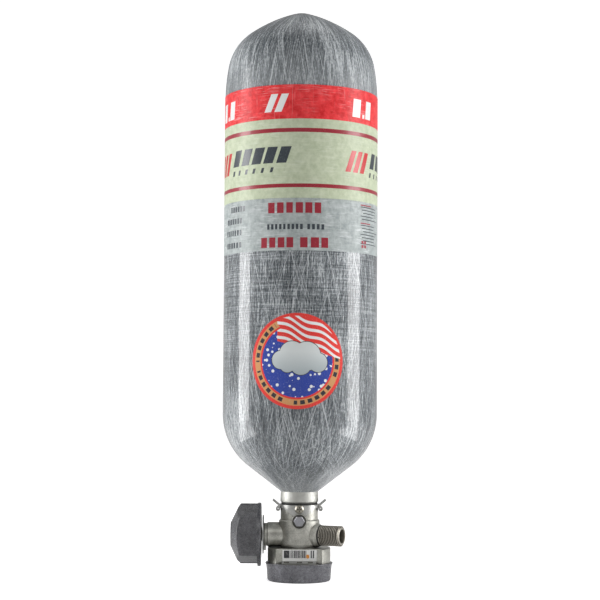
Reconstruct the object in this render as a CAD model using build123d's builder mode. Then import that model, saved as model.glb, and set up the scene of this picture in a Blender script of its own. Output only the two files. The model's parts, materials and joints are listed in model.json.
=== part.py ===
from build123d import *
import os
from math import cos, radians, sin, tan

os.makedirs("parts", exist_ok=True)

# A composite breathing-air cylinder with its valve, pressure gauge and handwheel.
# Millimetres. The cylinder's axis is Z, with its closed end up and the gauge's rubber bumper on the floor.
# The front is -Y, the handwheel is on the -X side and the outlet on the +X side, turned to the front.

# Pressure vessel
WALL_R = 80.0  # outside radius of the wrapped wall
SHOULDER_R = 67.5  # lower shoulder, tangent to the wall
SHOULDER_Z = 171.0  # height where the lower shoulder meets the wall
CONE_TILT = 52.0  # degrees that the cone's outward normal points below level
WALL_TOP_Z = 495.4  # height where the straight wall ends
DOME_ARCS = ((226.0, 9.6), (53.0, 55.0), (176.0, 72.0))  # radius, and the angle where each arc ends
GLASS_T = 1.6  # outer glass-fibre layer
CARBON_T = 9.35  # structural carbon-fibre layer
LINER_T = 3.2  # seamless aluminium liner
PLY_GAP = 0.05  # between layers that touch
NECK_R = 19.3
NECK_FOOT_Z = 79.9
NECK_BORE_R = 11.15
WRAP_FOOT_Z = 91.2  # the wrap ends here, on the neck
POLE_CAP_R = 6.2
TOTAL_H = 592.0

# Labels, thin skins on the wall
LABEL_T = 0.15
LABEL_GAP = 0.02
RED_BAND = (466.2, 500.6)
CREAM_BAND = (386.4, 466.1)
DATA_LABEL = (333.8, 386.3)
DECAL_Z = 224.1
DECAL_HALF_W = 44.8
DECAL_HALF_H = 47.6
DECAL_TURN = 2.2  # degrees to the left of the front

# Valve body
AXIS_Z = 46.8  # height of the handwheel's and the outlet's axes
BODY_R = 19.35
BODY_FOOT_Z = 33.9
BODY_TOP_Z = 76.5
COLLAR_R = 21.0
COLLAR_TOP_Z = 62.4
SPIGOT_R = 16.8
SPIGOT_TOP_Z = 78.1
STEM_R = 11.05
STEM_TOP_Z = 102.0
PASSAGE_R = 3.0
BARREL_R = 12.7
WHEEL_BARREL_L = 33.1
OUTLET_BARREL_R = 12.4
OUTLET_BARREL_L = 24.0
OUTLET_TURN = 25.0  # degrees that the outlet points to the front of +X
CHAMBER_R = 9.0
CHAMBER_START = 9.0
ORIFICE_R = 2.5
SOCKET_R = 8.05
SOCKET_START = 10.0
BOSS_Z = 61.6
BOSS_R = 7.9
BOSS_REACH = 21.7
BOSS_FLOOR = 19.0
COUNTERBORE_R = 7.2
BURST_THREAD_R = 4.0
DISC_SEAT = 9.0
GASKET_T = 1.05
DISC_T = 0.25

# Hanger plate, a sheet-metal cap on the valve body's top
PLATE_TOP_Z = SPIGOT_TOP_Z
SHEET_T = 1.5
HANGER_R = 20.9
HANGER_SKIRT_R = 19.45
HANGER_SKIRT_Z = 74.4
HANGER_SCREW_Z = 74.1
SCREW_HEAD_R = 4.5
EAR_HALF_W = 8.0
CURL_X = 21.9
CURL_Z = 73.5
TONGUE_W = 24.0
TONGUE_BACK_Y = 24.5
TONGUE_FOOT_Z = 61.5
LATCH_SLOT_Z = 69.0
LATCH_SLOT_L = 14.0
LATCH_SLOT_H = 6.0

# Outlet fitting
THREAD_R = 10.48  # major radius of the outlet's 0.825 in thread
FITTING_END = 48.4
FITTING_BORE_R = 6.85
FITTING_BORE_L = 18.4

# Handwheel drive, as distances out along -X
BONNET_R = 11.7
BONNET_END = 36.4
SHAFT_R = 4.0
RUN_CLEARANCE = 0.05
SPINDLE_SQUARE = 5.6
PLUG_R = 8.6
PLATE_START = 36.5
PLATE_T = 1.2
PLATE_R = 20.0
PLATE_TOOTH = 1.3
PLATE_TEETH = 24
TAB_L = 2.3
WHEEL_BACK = 39.2
WHEEL_R = 32.5
WHEEL_RIM_END = 60.9
WHEEL_NOSE = 69.8
WHEEL_NOSE_R = 14.0
WHEEL_LOBES = 5
FLAT_APOTHEM = 26.0
FLAT_HALF_W = 16.9
FLAT_START = 43.0
HUB_BACK = 41.2
HUB_BOSS_R = 12.0
HUB_DISC_R = 23.5
WEB_START = 46.5
WEB_END = 53.0
CAP_R = 13.0
CAP_NOTCHES = 16

# Gauge housing and bumper
HOUSING_R = 32.5
SKIRT_R = 29.5
SKIRT_BORE_R = 26.6
SKIRT_FOOT_Z = 4.2
STEP_Z = 18.7  # the housing's wide part sits on the bumper here
CAVITY_R = 17.5
CAVITY_TOP_Z = 29.0
RECESS_DEPTH_Y = 20.5
RECESS_HALF_W = 18.5
RECESS_MOUTH_HALF_W = 23.5
RECESS_MOUTH_Y = 22.6
STICKER_Z = 21.4
STICKER_W = 35.0
STICKER_H = 11.6
STICKER_T = 0.2
GAUGE_STEM_X = -14.0
GAUGE_STEM_R = 3.0
HOUSING_SCREW_PCR = 14.0
HOUSING_SCREW_ANGLES = (50, 130, 230, 310)
HOUSING_SCREW_R = 1.5
HOUSING_SCREW_HEAD_R = 2.8
HOUSING_SCREW_HEAD_T = 2.05
HOUSING_SCREW_L = 8.8
HOUSING_SCREW_PLACES = [
    (HOUSING_SCREW_PCR * cos(radians(angle)), HOUSING_SCREW_PCR * sin(radians(angle)))
    for angle in HOUSING_SCREW_ANGLES
]
BUMPER_TOP_R = 34.8
BUMPER_FOOT_R = 32.6
BUMPER_WINDOW_R = 24.5

# Working planes: the normal of each points out along the named axis
turn = radians(OUTLET_TURN)
WHEEL = Plane(origin=(0, 0, AXIS_Z), x_dir=(0, -1, 0), z_dir=(-1, 0, 0))
OUTLET = Plane(origin=(0, 0, AXIS_Z), x_dir=(sin(turn), cos(turn), 0), z_dir=(cos(turn), -sin(turn), 0))
BURST = Plane(origin=(0, 0, BOSS_Z), x_dir=(1, 0, 0), z_dir=(0, -1, 0))
SCREW_PLANE = Plane(origin=(0, 0, HANGER_SCREW_Z), x_dir=(1, 0, 0), z_dir=(0, -1, 0))


def spin_axis(plane):
    """The axis that a turned piece on this plane spins about."""
    return Axis(plane.origin, plane.z_dir)


def turned_face(plane, *outline):
    """A face whose points are (distance out along the plane's normal, radius)."""
    half = Plane(origin=plane.origin, x_dir=plane.z_dir, z_dir=-plane.x_dir)
    with BuildSketch(half) as face:
        with BuildLine():
            Polyline(*outline, close=True)
        make_face()
    return face.sketch


def ring_face(plane, start, end, inner, outer):
    """A rectangular section between two distances and two radii."""
    return turned_face(plane, (start, inner), (start, outer), (end, outer), (end, inner))


def round_section(plane, out, ring_r, wire_r):
    """A round section for an O-ring."""
    half = Plane(origin=plane.origin, x_dir=plane.z_dir, z_dir=-plane.x_dir)
    with BuildSketch(half) as face:
        with Locations((out, ring_r)):
            Circle(wire_r)
    return face.sketch


def save(builder, name):
    """Label a finished piece and write its STEP file."""
    builder.part.label = name
    export_step(builder.part, f"parts/{name}.step")


def cone_height(inset, radius):
    """Height of the lower cone at a radius, this far inside the finished surface."""
    slope = 1 / tan(radians(CONE_TILT))
    return WRAP_FOOT_Z + inset / sin(radians(CONE_TILT)) + (radius - NECK_R) * slope


def vessel_line(inset, foot_r):
    """Half outline of the vessel, this far inside its finished surface, from the cone to the closed tip."""
    with BuildLine() as line:
        shoulder_centre = (WALL_R - SHOULDER_R, SHOULDER_Z)
        shoulder = CenterArc(shoulder_centre, SHOULDER_R - inset, -CONE_TILT, CONE_TILT)
        Line((foot_r, cone_height(inset, foot_r)), shoulder @ 0)
        radius, start = DOME_ARCS[0][0], 0.0
        centre = Vector(WALL_R - radius, WALL_TOP_Z)
        end = Vector(WALL_R - inset, WALL_TOP_Z)
        Line(shoulder @ 1, end)
        for arc_r, stop in DOME_ARCS:
            centre += Vector(cos(radians(start)), sin(radians(start))) * (radius - arc_r)
            arc = CenterArc(centre, arc_r - inset, start, stop - start)
            radius, start, end = arc_r, stop, arc @ 1
        Line(end, (0, end.Y))
    return line.line


def vessel_layer(outer_inset, inner_inset, foot_r):
    """Half section of one layer of the vessel that ends on the neck."""
    outer = vessel_line(outer_inset, foot_r)
    inner = vessel_line(inner_inset, foot_r)
    with BuildSketch(Plane.XZ) as layer:
        with BuildLine():
            add(outer)
            add(inner)
            Line((foot_r, cone_height(outer_inset, foot_r)), (foot_r, cone_height(inner_inset, foot_r)))
            Line(outer @ 1, inner @ 1)
        make_face()
    return layer.sketch


# ---------------------------------------------------------------- vessel

carbon_inset = GLASS_T + PLY_GAP
liner_inset = carbon_inset + CARBON_T + PLY_GAP
gas_inset = liner_inset + LINER_T
wrap_foot_r = NECK_R + PLY_GAP

with BuildPart() as glass_overwrap:
    revolve(vessel_layer(0, GLASS_T, wrap_foot_r), Axis.Z)
save(glass_overwrap, "glass_overwrap")

with BuildPart() as carbon_overwrap:
    revolve(vessel_layer(carbon_inset, carbon_inset + CARBON_T, wrap_foot_r), Axis.Z)
save(carbon_overwrap, "carbon_overwrap")

# The liner's neck carries the valve's thread and shows below the wrap.
neck_top = cone_height(liner_inset, NECK_R)
liner_outer = vessel_line(liner_inset, NECK_R)
liner_inner = vessel_line(gas_inset, NECK_BORE_R)
with BuildSketch(Plane.XZ) as liner_section:
    with BuildLine():
        add(liner_outer)
        add(liner_inner)
        Polyline(
            (NECK_R, neck_top),
            (NECK_R, WRAP_FOOT_Z - 1),
            (NECK_R + 0.3, NECK_FOOT_Z + 5),
            (NECK_R + 0.3, NECK_FOOT_Z + 1.3),
            (NECK_R - 0.7, NECK_FOOT_Z),
            (NECK_BORE_R, NECK_FOOT_Z),
            (NECK_BORE_R, cone_height(gas_inset, NECK_BORE_R)),
        )
        Line(liner_outer @ 1, liner_inner @ 1)
    make_face()
with BuildPart() as liner:
    revolve(liner_section.sketch, Axis.Z)
save(liner, "liner")

dome_top = glass_overwrap.part.bounding_box().max.Z
with BuildPart() as pole_cap:
    with BuildSketch(Plane.XY.offset(dome_top)):
        Circle(POLE_CAP_R)
    extrude(amount=TOTAL_H - dome_top)
    chamfer(pole_cap.edges().group_by(Axis.Z)[-1], 0.3)
save(pole_cap, "pole_cap")

# ---------------------------------------------------------------- labels

label_in = WALL_R + LABEL_GAP
label_out = label_in + LABEL_T
for name, (low, high) in (("red_band", RED_BAND), ("cream_band", CREAM_BAND), ("data_label", DATA_LABEL)):
    with BuildPart() as band:
        revolve(ring_face(Plane.XY, low, high, label_in, label_out), Axis.Z)
    save(band, name)

decal_turn = radians(DECAL_TURN)
DECAL = Plane(
    origin=(0, 0, DECAL_Z),
    x_dir=(cos(decal_turn), -sin(decal_turn), 0),
    z_dir=(-sin(decal_turn), -cos(decal_turn), 0),
)
with BuildPart() as round_decal:
    revolve(ring_face(Plane.XY, DECAL_Z - 60, DECAL_Z + 60, label_in, label_out), Axis.Z)
    with BuildSketch(DECAL):
        Ellipse(DECAL_HALF_W, DECAL_HALF_H)
    extrude(amount=WALL_R + 10, mode=Mode.INTERSECT)
save(round_decal, "round_decal")

# ---------------------------------------------------------------- valve body

with BuildPart() as valve_body:
    with BuildSketch(Plane.XY.offset(BODY_FOOT_Z)):
        Circle(BODY_R)
    extrude(amount=BODY_TOP_Z - BODY_FOOT_Z)
    collar = turned_face(
        Plane.XY,
        (BODY_FOOT_Z, 0),
        (BODY_FOOT_Z, COLLAR_R - 2),
        (BODY_FOOT_Z + 4, COLLAR_R),
        (COLLAR_TOP_Z - 1, COLLAR_R),
        (COLLAR_TOP_Z, COLLAR_R - 1),
        (COLLAR_TOP_Z, 0),
    )
    revolve(collar, Axis.Z)
    with BuildSketch(Plane.XY.offset(BODY_TOP_Z)):
        Circle(SPIGOT_R)
    extrude(amount=SPIGOT_TOP_Z - BODY_TOP_Z)
    with BuildSketch(Plane.XY.offset(SPIGOT_TOP_Z)):
        Circle(STEM_R)
    extrude(amount=STEM_TOP_Z - SPIGOT_TOP_Z)
    chamfer(valve_body.edges().group_by(Axis.Z)[-1], 1.2)
    # Handwheel barrel, outlet barrel and the boss for the burst disc
    wheel_barrel = turned_face(
        WHEEL,
        (0, 0),
        (0, BARREL_R),
        (WHEEL_BARREL_L - 0.8, BARREL_R),
        (WHEEL_BARREL_L, BARREL_R - 0.8),
        (WHEEL_BARREL_L, 0),
    )
    revolve(wheel_barrel, spin_axis(WHEEL))
    outlet_barrel = turned_face(
        OUTLET,
        (0, 0),
        (0, OUTLET_BARREL_R),
        (OUTLET_BARREL_L - 3, OUTLET_BARREL_R),
        (OUTLET_BARREL_L - 0.6, OUTLET_BARREL_R - 1.2),
        (OUTLET_BARREL_L, OUTLET_BARREL_R - 1.8),
        (OUTLET_BARREL_L, 0),
    )
    revolve(outlet_barrel, spin_axis(OUTLET))
    with BuildSketch(BURST):
        Circle(BOSS_R)
    extrude(amount=BOSS_REACH)
    # Gas comes down the stem and across to the chamber round the plug
    with BuildSketch(Plane.XY.offset(BOSS_Z - 3)):
        Circle(PASSAGE_R)
    extrude(amount=STEM_TOP_Z - BOSS_Z + 3, mode=Mode.SUBTRACT)
    with BuildSketch(Plane(origin=(0, 0, BOSS_Z - 2), z_dir=(-2, 0, -1))):
        Circle(2)
    extrude(amount=20, mode=Mode.SUBTRACT)
    with BuildSketch(WHEEL.offset(CHAMBER_START)):
        Circle(CHAMBER_R)
    extrude(amount=WHEEL_BARREL_L - CHAMBER_START, mode=Mode.SUBTRACT)
    with BuildSketch(WHEEL):
        Circle(ORIFICE_R)
    extrude(amount=CHAMBER_START, mode=Mode.SUBTRACT)
    with BuildSketch(OUTLET):
        Circle(PASSAGE_R)
    extrude(amount=OUTLET_BARREL_L, mode=Mode.SUBTRACT)
    with BuildSketch(OUTLET.offset(SOCKET_START)):
        Circle(SOCKET_R)
    extrude(amount=OUTLET_BARREL_L - SOCKET_START, mode=Mode.SUBTRACT)
    # Burst disc socket, gauge socket and screw holes
    with BuildSketch(BURST.offset(BOSS_FLOOR)):
        Circle(COUNTERBORE_R)
    extrude(amount=BOSS_REACH - BOSS_FLOOR, mode=Mode.SUBTRACT)
    with BuildSketch(BURST.offset(DISC_SEAT)):
        Circle(BURST_THREAD_R + 0.05)
    extrude(amount=BOSS_FLOOR - DISC_SEAT, mode=Mode.SUBTRACT)
    with BuildSketch(BURST):
        Circle(2)
    extrude(amount=DISC_SEAT, mode=Mode.SUBTRACT)
    with BuildSketch(Plane.XY.offset(BODY_FOOT_Z)):
        with Locations((GAUGE_STEM_X, 0)):
            Circle(GAUGE_STEM_R)
    extrude(amount=2.6, mode=Mode.SUBTRACT)
    with BuildSketch(Plane.XY.offset(BODY_FOOT_Z)):
        with Locations((GAUGE_STEM_X, 0)):
            Circle(1.2)
    extrude(amount=6, mode=Mode.SUBTRACT)
    with BuildSketch(Plane.XY.offset(BODY_FOOT_Z)):
        with Locations(*HOUSING_SCREW_PLACES):
            Circle(HOUSING_SCREW_R + 0.1)
    extrude(amount=4, mode=Mode.SUBTRACT)
    with BuildSketch(SCREW_PLANE.offset(12)):
        Circle(2.05)
    extrude(amount=10, mode=Mode.SUBTRACT)
save(valve_body, "valve_body")

with BuildPart() as neck_o_ring:
    revolve(round_section(Plane.XY, (SPIGOT_TOP_Z + NECK_FOOT_Z) / 2, 17.9, 0.85), Axis.Z)
save(neck_o_ring, "neck_o_ring")

# ---------------------------------------------------------------- hanger

with BuildPart() as front_tab:
    revolve(ring_face(Plane.XY, 66, 75, HANGER_SKIRT_R, HANGER_R - 0.2), Axis.Z)
    with BuildSketch(Plane.XZ):
        with BuildLine():
            Polyline((-16, 75), (16, 75), (16, 73.6), (5.6, 66.8), (-5.6, 66.8), (-16, 73.6), close=True)
        make_face()
        with Locations((0, BOSS_Z)):
            Circle(BOSS_R + 0.2, mode=Mode.SUBTRACT)
    extrude(amount=30, mode=Mode.INTERSECT)

with BuildPart() as hanger_plate:
    skirt = turned_face(
        Plane.XY,
        (HANGER_SKIRT_Z, HANGER_SKIRT_R),
        (HANGER_SKIRT_Z, HANGER_R),
        (PLATE_TOP_Z - 0.4, HANGER_R),
        (PLATE_TOP_Z, HANGER_R - 0.4),
        (PLATE_TOP_Z, SPIGOT_R + 0.1),
        (PLATE_TOP_Z - SHEET_T, SPIGOT_R + 0.1),
        (PLATE_TOP_Z - SHEET_T, HANGER_SKIRT_R),
    )
    revolve(skirt, Axis.Z)
    add(front_tab.part)
    # An ear on each side: a flap that rises outward, and a rolled hem below it
    with BuildSketch(Plane.XZ.offset(-EAR_HALF_W)) as ear:
        for side in (-1, 1):
            with BuildLine():
                Polyline(
                    (side * 17.6, PLATE_TOP_Z - SHEET_T),
                    (side * 17.6, PLATE_TOP_Z),
                    (side * 20.6, PLATE_TOP_Z),
                    (side * 26.7, PLATE_TOP_Z + 5.1),
                    (side * 27.7, PLATE_TOP_Z + 4.0),
                    (side * 21.3, PLATE_TOP_Z - SHEET_T),
                    close=True,
                )
            make_face()
            with Locations((side * CURL_X, CURL_Z)):
                Circle(2.3)
                Circle(0.9, mode=Mode.SUBTRACT)
            with Locations((side * 20.6, CURL_Z + 2)):
                Rectangle(1.4, 3)
    extrude(amount=2 * EAR_HALF_W)
    # The hem is rolled clear of the valve body
    with BuildSketch(Plane.XY.offset(PLATE_TOP_Z - SHEET_T)):
        Circle(HANGER_SKIRT_R)
    extrude(amount=-12, mode=Mode.SUBTRACT)
    # A slotted tongue at the back for the carrying frame's latch
    with BuildSketch(Plane.YZ.offset(-TONGUE_W / 2)):
        with BuildLine():
            Polyline(
                (17, PLATE_TOP_Z),
                (TONGUE_BACK_Y, PLATE_TOP_Z),
                (TONGUE_BACK_Y, TONGUE_FOOT_Z),
                (TONGUE_BACK_Y - SHEET_T, TONGUE_FOOT_Z),
                (TONGUE_BACK_Y - SHEET_T, PLATE_TOP_Z - SHEET_T),
                (17, PLATE_TOP_Z - SHEET_T),
                close=True,
            )
        make_face()
    extrude(amount=TONGUE_W)
    with BuildSketch(Plane.XZ.offset(-20)):
        with Locations((0, LATCH_SLOT_Z)):
            SlotOverall(LATCH_SLOT_L, LATCH_SLOT_H)
    extrude(amount=-10, mode=Mode.SUBTRACT)
    with BuildSketch(Plane.XZ.offset(15)):
        with Locations((0, HANGER_SCREW_Z)):
            Circle(2.15)
    extrude(amount=10, mode=Mode.SUBTRACT)
save(hanger_plate, "hanger_plate")

with BuildPart() as hanger_screw:
    screw = turned_face(
        SCREW_PLANE,
        (12.5, 0),
        (12.5, 2),
        (HANGER_R + 0.05, 2),
        (HANGER_R + 0.05, SCREW_HEAD_R),
        (HANGER_R + 1.4, SCREW_HEAD_R),
        (HANGER_R + 2.6, 3.2),
        (HANGER_R + 2.6, 0),
    )
    revolve(screw, spin_axis(SCREW_PLANE))
    with BuildSketch(SCREW_PLANE.offset(HANGER_R + 2.6)):
        Rectangle(5.2, 1.3)
        Rectangle(1.3, 5.2)
    extrude(amount=-1.6, mode=Mode.SUBTRACT)
save(hanger_screw, "hanger_screw")

# ---------------------------------------------------------------- dip tube

TUBE_FOOT_Z = 90.0
TUBE_TOP_Z = 136.0
FILTER_R = 4.2
FILTER_L = 16.0

with BuildPart() as dip_tube:
    revolve(ring_face(Plane.XY, TUBE_FOOT_Z, TUBE_TOP_Z, 1.9, PASSAGE_R - 0.05), Axis.Z)
save(dip_tube, "dip_tube")

with BuildPart() as dip_tube_filter:
    cup = turned_face(
        Plane.XY,
        (TUBE_TOP_Z - 6, PASSAGE_R),
        (TUBE_TOP_Z - 6, FILTER_R),
        (TUBE_TOP_Z - 6 + FILTER_L, FILTER_R),
        (TUBE_TOP_Z - 6 + FILTER_L, 0),
        (TUBE_TOP_Z + 0.1, 0),
        (TUBE_TOP_Z + 0.1, PASSAGE_R),
    )
    revolve(cup, Axis.Z)
save(dip_tube_filter, "dip_tube_filter")

# ---------------------------------------------------------------- burst disc

gasket_start = DISC_SEAT + PLY_GAP
disc_start = gasket_start + GASKET_T + PLY_GAP
plug_start = disc_start + DISC_T + PLY_GAP
head_start = BOSS_FLOOR + PLY_GAP

with BuildPart() as burst_gasket:
    revolve(
        ring_face(BURST, gasket_start, gasket_start + GASKET_T, 2.2, BURST_THREAD_R - PLY_GAP),
        spin_axis(BURST),
    )
save(burst_gasket, "burst_gasket")

with BuildPart() as burst_disc:
    with BuildSketch(BURST.offset(disc_start)):
        Circle(BURST_THREAD_R - PLY_GAP)
    extrude(amount=DISC_T)
save(burst_disc, "burst_disc")

with BuildPart() as burst_disc_plug:
    with BuildSketch(BURST.offset(plug_start)):
        Circle(BURST_THREAD_R)
    extrude(amount=head_start - plug_start)
    with BuildSketch(BURST.offset(head_start)):
        RegularPolygon(5.7, 6)
    extrude(amount=3)
    chamfer(burst_disc_plug.edges().group_by(Axis.Y)[0], 0.4)
    # The vent: up the middle and out of two flats
    with BuildSketch(BURST.offset(plug_start)):
        Circle(1.3)
    extrude(amount=head_start + 1.8 - plug_start, mode=Mode.SUBTRACT)
    with BuildSketch(Plane.XY.offset(BOSS_Z - 8)):
        with Locations((0, -BOSS_FLOOR - 1.2)):
            Circle(0.8)
    extrude(amount=16, mode=Mode.SUBTRACT)
save(burst_disc_plug, "burst_disc_plug")

# ---------------------------------------------------------------- outlet

with BuildPart() as outlet_fitting:
    fitting = turned_face(
        OUTLET,
        (SOCKET_START + 0.05, PASSAGE_R),
        (SOCKET_START + 0.05, SOCKET_R - 0.05),
        (OUTLET_BARREL_L + 0.05, SOCKET_R - 0.05),
        (OUTLET_BARREL_L + 0.05, 9.1),
        (OUTLET_BARREL_L + 1.8, 9.1),
        (OUTLET_BARREL_L + 1.8, THREAD_R),
        (FITTING_END - 1.1, THREAD_R),
        (FITTING_END, THREAD_R - 1.1),
        (FITTING_END, FITTING_BORE_R),
        (FITTING_END - FITTING_BORE_L, FITTING_BORE_R),
        (FITTING_END - FITTING_BORE_L, PASSAGE_R),
    )
    revolve(fitting, spin_axis(OUTLET))
save(outlet_fitting, "outlet_fitting")

with BuildPart() as outlet_o_ring:
    revolve(round_section(OUTLET, OUTLET_BARREL_L + 0.95, 9.9, 0.77), spin_axis(OUTLET))
save(outlet_o_ring, "outlet_o_ring")

with BuildPart() as outlet_filter:
    with BuildSketch(OUTLET.offset(14)):
        Circle(PASSAGE_R - 0.05)
    extrude(amount=3)
save(outlet_filter, "outlet_filter")

# ---------------------------------------------------------------- bonnet, spindle and plug

BONNET_START = 26.2
GROOVE_START = 29.0
GROOVE_END = 31.0
GROOVE_R = 5.9
FLANGE_START = 22.5
FLANGE_END = 25.5
TONGUE_START = 18.0
TONGUE_T = 2.4
SQUARE_START = 43.0
SPINDLE_END = 59.0
PLUG_START = 10.0
PLUG_END = 19.2
PLUG_SLOT_START = 14.6

with BuildPart() as bonnet:
    bonnet_section = turned_face(
        WHEEL,
        (BONNET_START, SHAFT_R + RUN_CLEARANCE),
        (BONNET_START, CHAMBER_R - 0.05),
        (WHEEL_BARREL_L + 0.05, CHAMBER_R - 0.05),
        (WHEEL_BARREL_L + 0.05, BONNET_R),
        (BONNET_END - 0.5, BONNET_R),
        (BONNET_END, BONNET_R - 0.5),
        (BONNET_END, SHAFT_R + RUN_CLEARANCE),
        (GROOVE_END, SHAFT_R + RUN_CLEARANCE),
        (GROOVE_END, GROOVE_R),
        (GROOVE_START, GROOVE_R),
        (GROOVE_START, SHAFT_R + RUN_CLEARANCE),
    )
    revolve(bonnet_section, spin_axis(WHEEL))
save(bonnet, "bonnet")

with BuildPart() as stem_o_ring:
    revolve(round_section(WHEEL, (GROOVE_START + GROOVE_END) / 2, 4.97, 0.92), spin_axis(WHEEL))
save(stem_o_ring, "stem_o_ring")

with BuildPart() as thrust_washer:
    revolve(ring_face(WHEEL, FLANGE_END + 0.1, BONNET_START - 0.05, 4.1, 8.4), spin_axis(WHEEL))
save(thrust_washer, "thrust_washer")

with BuildPart() as spindle:
    with BuildSketch(WHEEL.offset(TONGUE_START)):
        Rectangle(TONGUE_T, 12)
    extrude(amount=FLANGE_START - TONGUE_START)
    shaft = turned_face(
        WHEEL,
        (FLANGE_START, 0),
        (FLANGE_START, 7.5),
        (FLANGE_END, 7.5),
        (FLANGE_END, SHAFT_R),
        (SQUARE_START, SHAFT_R),
        (SQUARE_START, 0),
    )
    revolve(shaft, spin_axis(WHEEL))
    with BuildSketch(WHEEL.offset(SQUARE_START)):
        Rectangle(SPINDLE_SQUARE, SPINDLE_SQUARE)
    extrude(amount=WEB_END - SQUARE_START)
    with BuildSketch(WHEEL.offset(WEB_END)):
        Circle(2.6)
    extrude(amount=SPINDLE_END - WEB_END)
save(spindle, "spindle")

with BuildPart() as valve_plug:
    with BuildSketch(WHEEL.offset(PLUG_START)):
        Circle(PLUG_R)
    extrude(amount=PLUG_END - PLUG_START)
    with BuildSketch(WHEEL.offset(PLUG_START)):
        Circle(4.05)
    extrude(amount=1.1, mode=Mode.SUBTRACT)
    # The slot that the spindle's tongue turns it by
    with BuildSketch(WHEEL.offset(PLUG_SLOT_START)):
        Rectangle(TONGUE_T + 0.16, 2 * PLUG_R)
    extrude(amount=PLUG_END - PLUG_SLOT_START, mode=Mode.SUBTRACT)
save(valve_plug, "valve_plug")

with BuildPart() as plug_insert:
    with BuildSketch(WHEEL.offset(CHAMBER_START + 0.1)):
        Circle(4)
    extrude(amount=PLUG_START + 1.05 - CHAMBER_START - 0.1)
save(plug_insert, "plug_insert")

# ---------------------------------------------------------------- ratchet plate and spring

with BuildPart() as ratchet_plate:
    with BuildSketch(WHEEL.offset(PLATE_START)):
        Circle(PLATE_R)
        with PolarLocations(PLATE_R - 0.3, PLATE_TEETH):
            with BuildLine():
                Polyline((0, -1.4), (0, 1.4), (PLATE_TOOTH + 0.3, 1.4), close=True)
            make_face()
        Circle(10, mode=Mode.SUBTRACT)
    extrude(amount=PLATE_T)
    # A tab bent back beside the bonnet keeps the plate from turning
    with BuildSketch(WHEEL.offset(PLATE_START - TAB_L)):
        with Locations((0, -BONNET_R - 2.3)):
            Rectangle(6, 4)
    extrude(amount=TAB_L + PLATE_T)
save(ratchet_plate, "ratchet_plate")

with BuildPart() as spring_washer:
    revolve(ring_face(WHEEL, BONNET_END + 0.05, BONNET_END + 0.8, 4.3, 9.6), spin_axis(WHEEL))
save(spring_washer, "spring_washer")

SPRING_COIL_R = 7.2
SPRING_WIRE_R = 0.5
SPRING_TURNS = 4
SPRING_START = BONNET_END + 1.4
SPRING_LENGTH = WEB_START - 0.6 - SPRING_START

with BuildPart() as handwheel_spring:
    with BuildLine() as coil:
        Helix(
            pitch=SPRING_LENGTH / SPRING_TURNS,
            height=SPRING_LENGTH,
            radius=SPRING_COIL_R,
            center=(-SPRING_START, 0, AXIS_Z),
            direction=(-1, 0, 0),
        )
    with BuildSketch(Plane(origin=coil.line @ 0, z_dir=coil.line % 0)):
        Circle(SPRING_WIRE_R)
    sweep(is_frenet=True)
save(handwheel_spring, "handwheel_spring")

# ---------------------------------------------------------------- handwheel

with BuildPart() as handwheel_hub:
    hub = turned_face(
        WHEEL,
        (HUB_BACK, 9.6),
        (HUB_BACK, HUB_BOSS_R),
        (WEB_START, HUB_BOSS_R),
        (WEB_START, HUB_DISC_R),
        (WEB_START + 5.5, HUB_DISC_R),
        (WEB_START + 5.5, HUB_BOSS_R),
        (60, HUB_BOSS_R),
        (60, 8.5),
        (WEB_END, 8.5),
        (WEB_END, 0),
        (WEB_START, 0),
        (WEB_START, 9.6),
    )
    revolve(hub, spin_axis(WHEEL))
    with BuildSketch(WHEEL.offset(WEB_START)):
        Rectangle(SPINDLE_SQUARE + 0.12, SPINDLE_SQUARE + 0.12)
    extrude(amount=WEB_END - WEB_START, mode=Mode.SUBTRACT)
save(handwheel_hub, "handwheel_hub")

with BuildPart() as handwheel_grip:
    grip = turned_face(
        WHEEL,
        (WHEEL_BACK, 22.2),
        (WHEEL_BACK, WHEEL_R - 0.8),
        (WHEEL_BACK + 0.8, WHEEL_R),
        (WHEEL_RIM_END, WHEEL_R),
        (WHEEL_NOSE, WHEEL_NOSE_R),
        (WHEEL_NOSE, CAP_R + 0.05),
        (66, CAP_R + 0.05),
        (66, 8.5),
        (60.05, 8.5),
        (60.05, HUB_BOSS_R + 0.05),
        (WEB_START + 5.55, HUB_BOSS_R + 0.05),
        (WEB_START + 5.55, HUB_DISC_R + 0.05),
        (WEB_START - 0.05, HUB_DISC_R + 0.05),
        (WEB_START - 0.05, 22.2),
    )
    revolve(grip, spin_axis(WHEEL))
    # Five flats for the fingers, with a narrow rib between each two
    with BuildSketch(WHEEL.offset(FLAT_START)):
        with PolarLocations(FLAT_APOTHEM + 5, WHEEL_LOBES):
            Rectangle(10, 2 * FLAT_HALF_W)
    extrude(amount=WHEEL_NOSE - FLAT_START, mode=Mode.SUBTRACT)
save(handwheel_grip, "handwheel_grip")

with BuildPart() as handwheel_nut:
    with BuildSketch(WHEEL.offset(WEB_END + 0.1)):
        RegularPolygon(5.3, 6)
        Circle(2.65, mode=Mode.SUBTRACT)
    extrude(amount=4)
save(handwheel_nut, "handwheel_nut")

with BuildPart() as handwheel_cap:
    with BuildSketch(WHEEL.offset(66.05)):
        Circle(CAP_R)
    extrude(amount=WHEEL_NOSE + 0.8 - 66.05)
    with BuildSketch(WHEEL.offset(WHEEL_NOSE + 0.05)):
        with PolarLocations(CAP_R, CAP_NOTCHES):
            Rectangle(2.2, 2.4)
    extrude(amount=1, mode=Mode.SUBTRACT)
save(handwheel_cap, "handwheel_cap")

# ---------------------------------------------------------------- gauge housing

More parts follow.
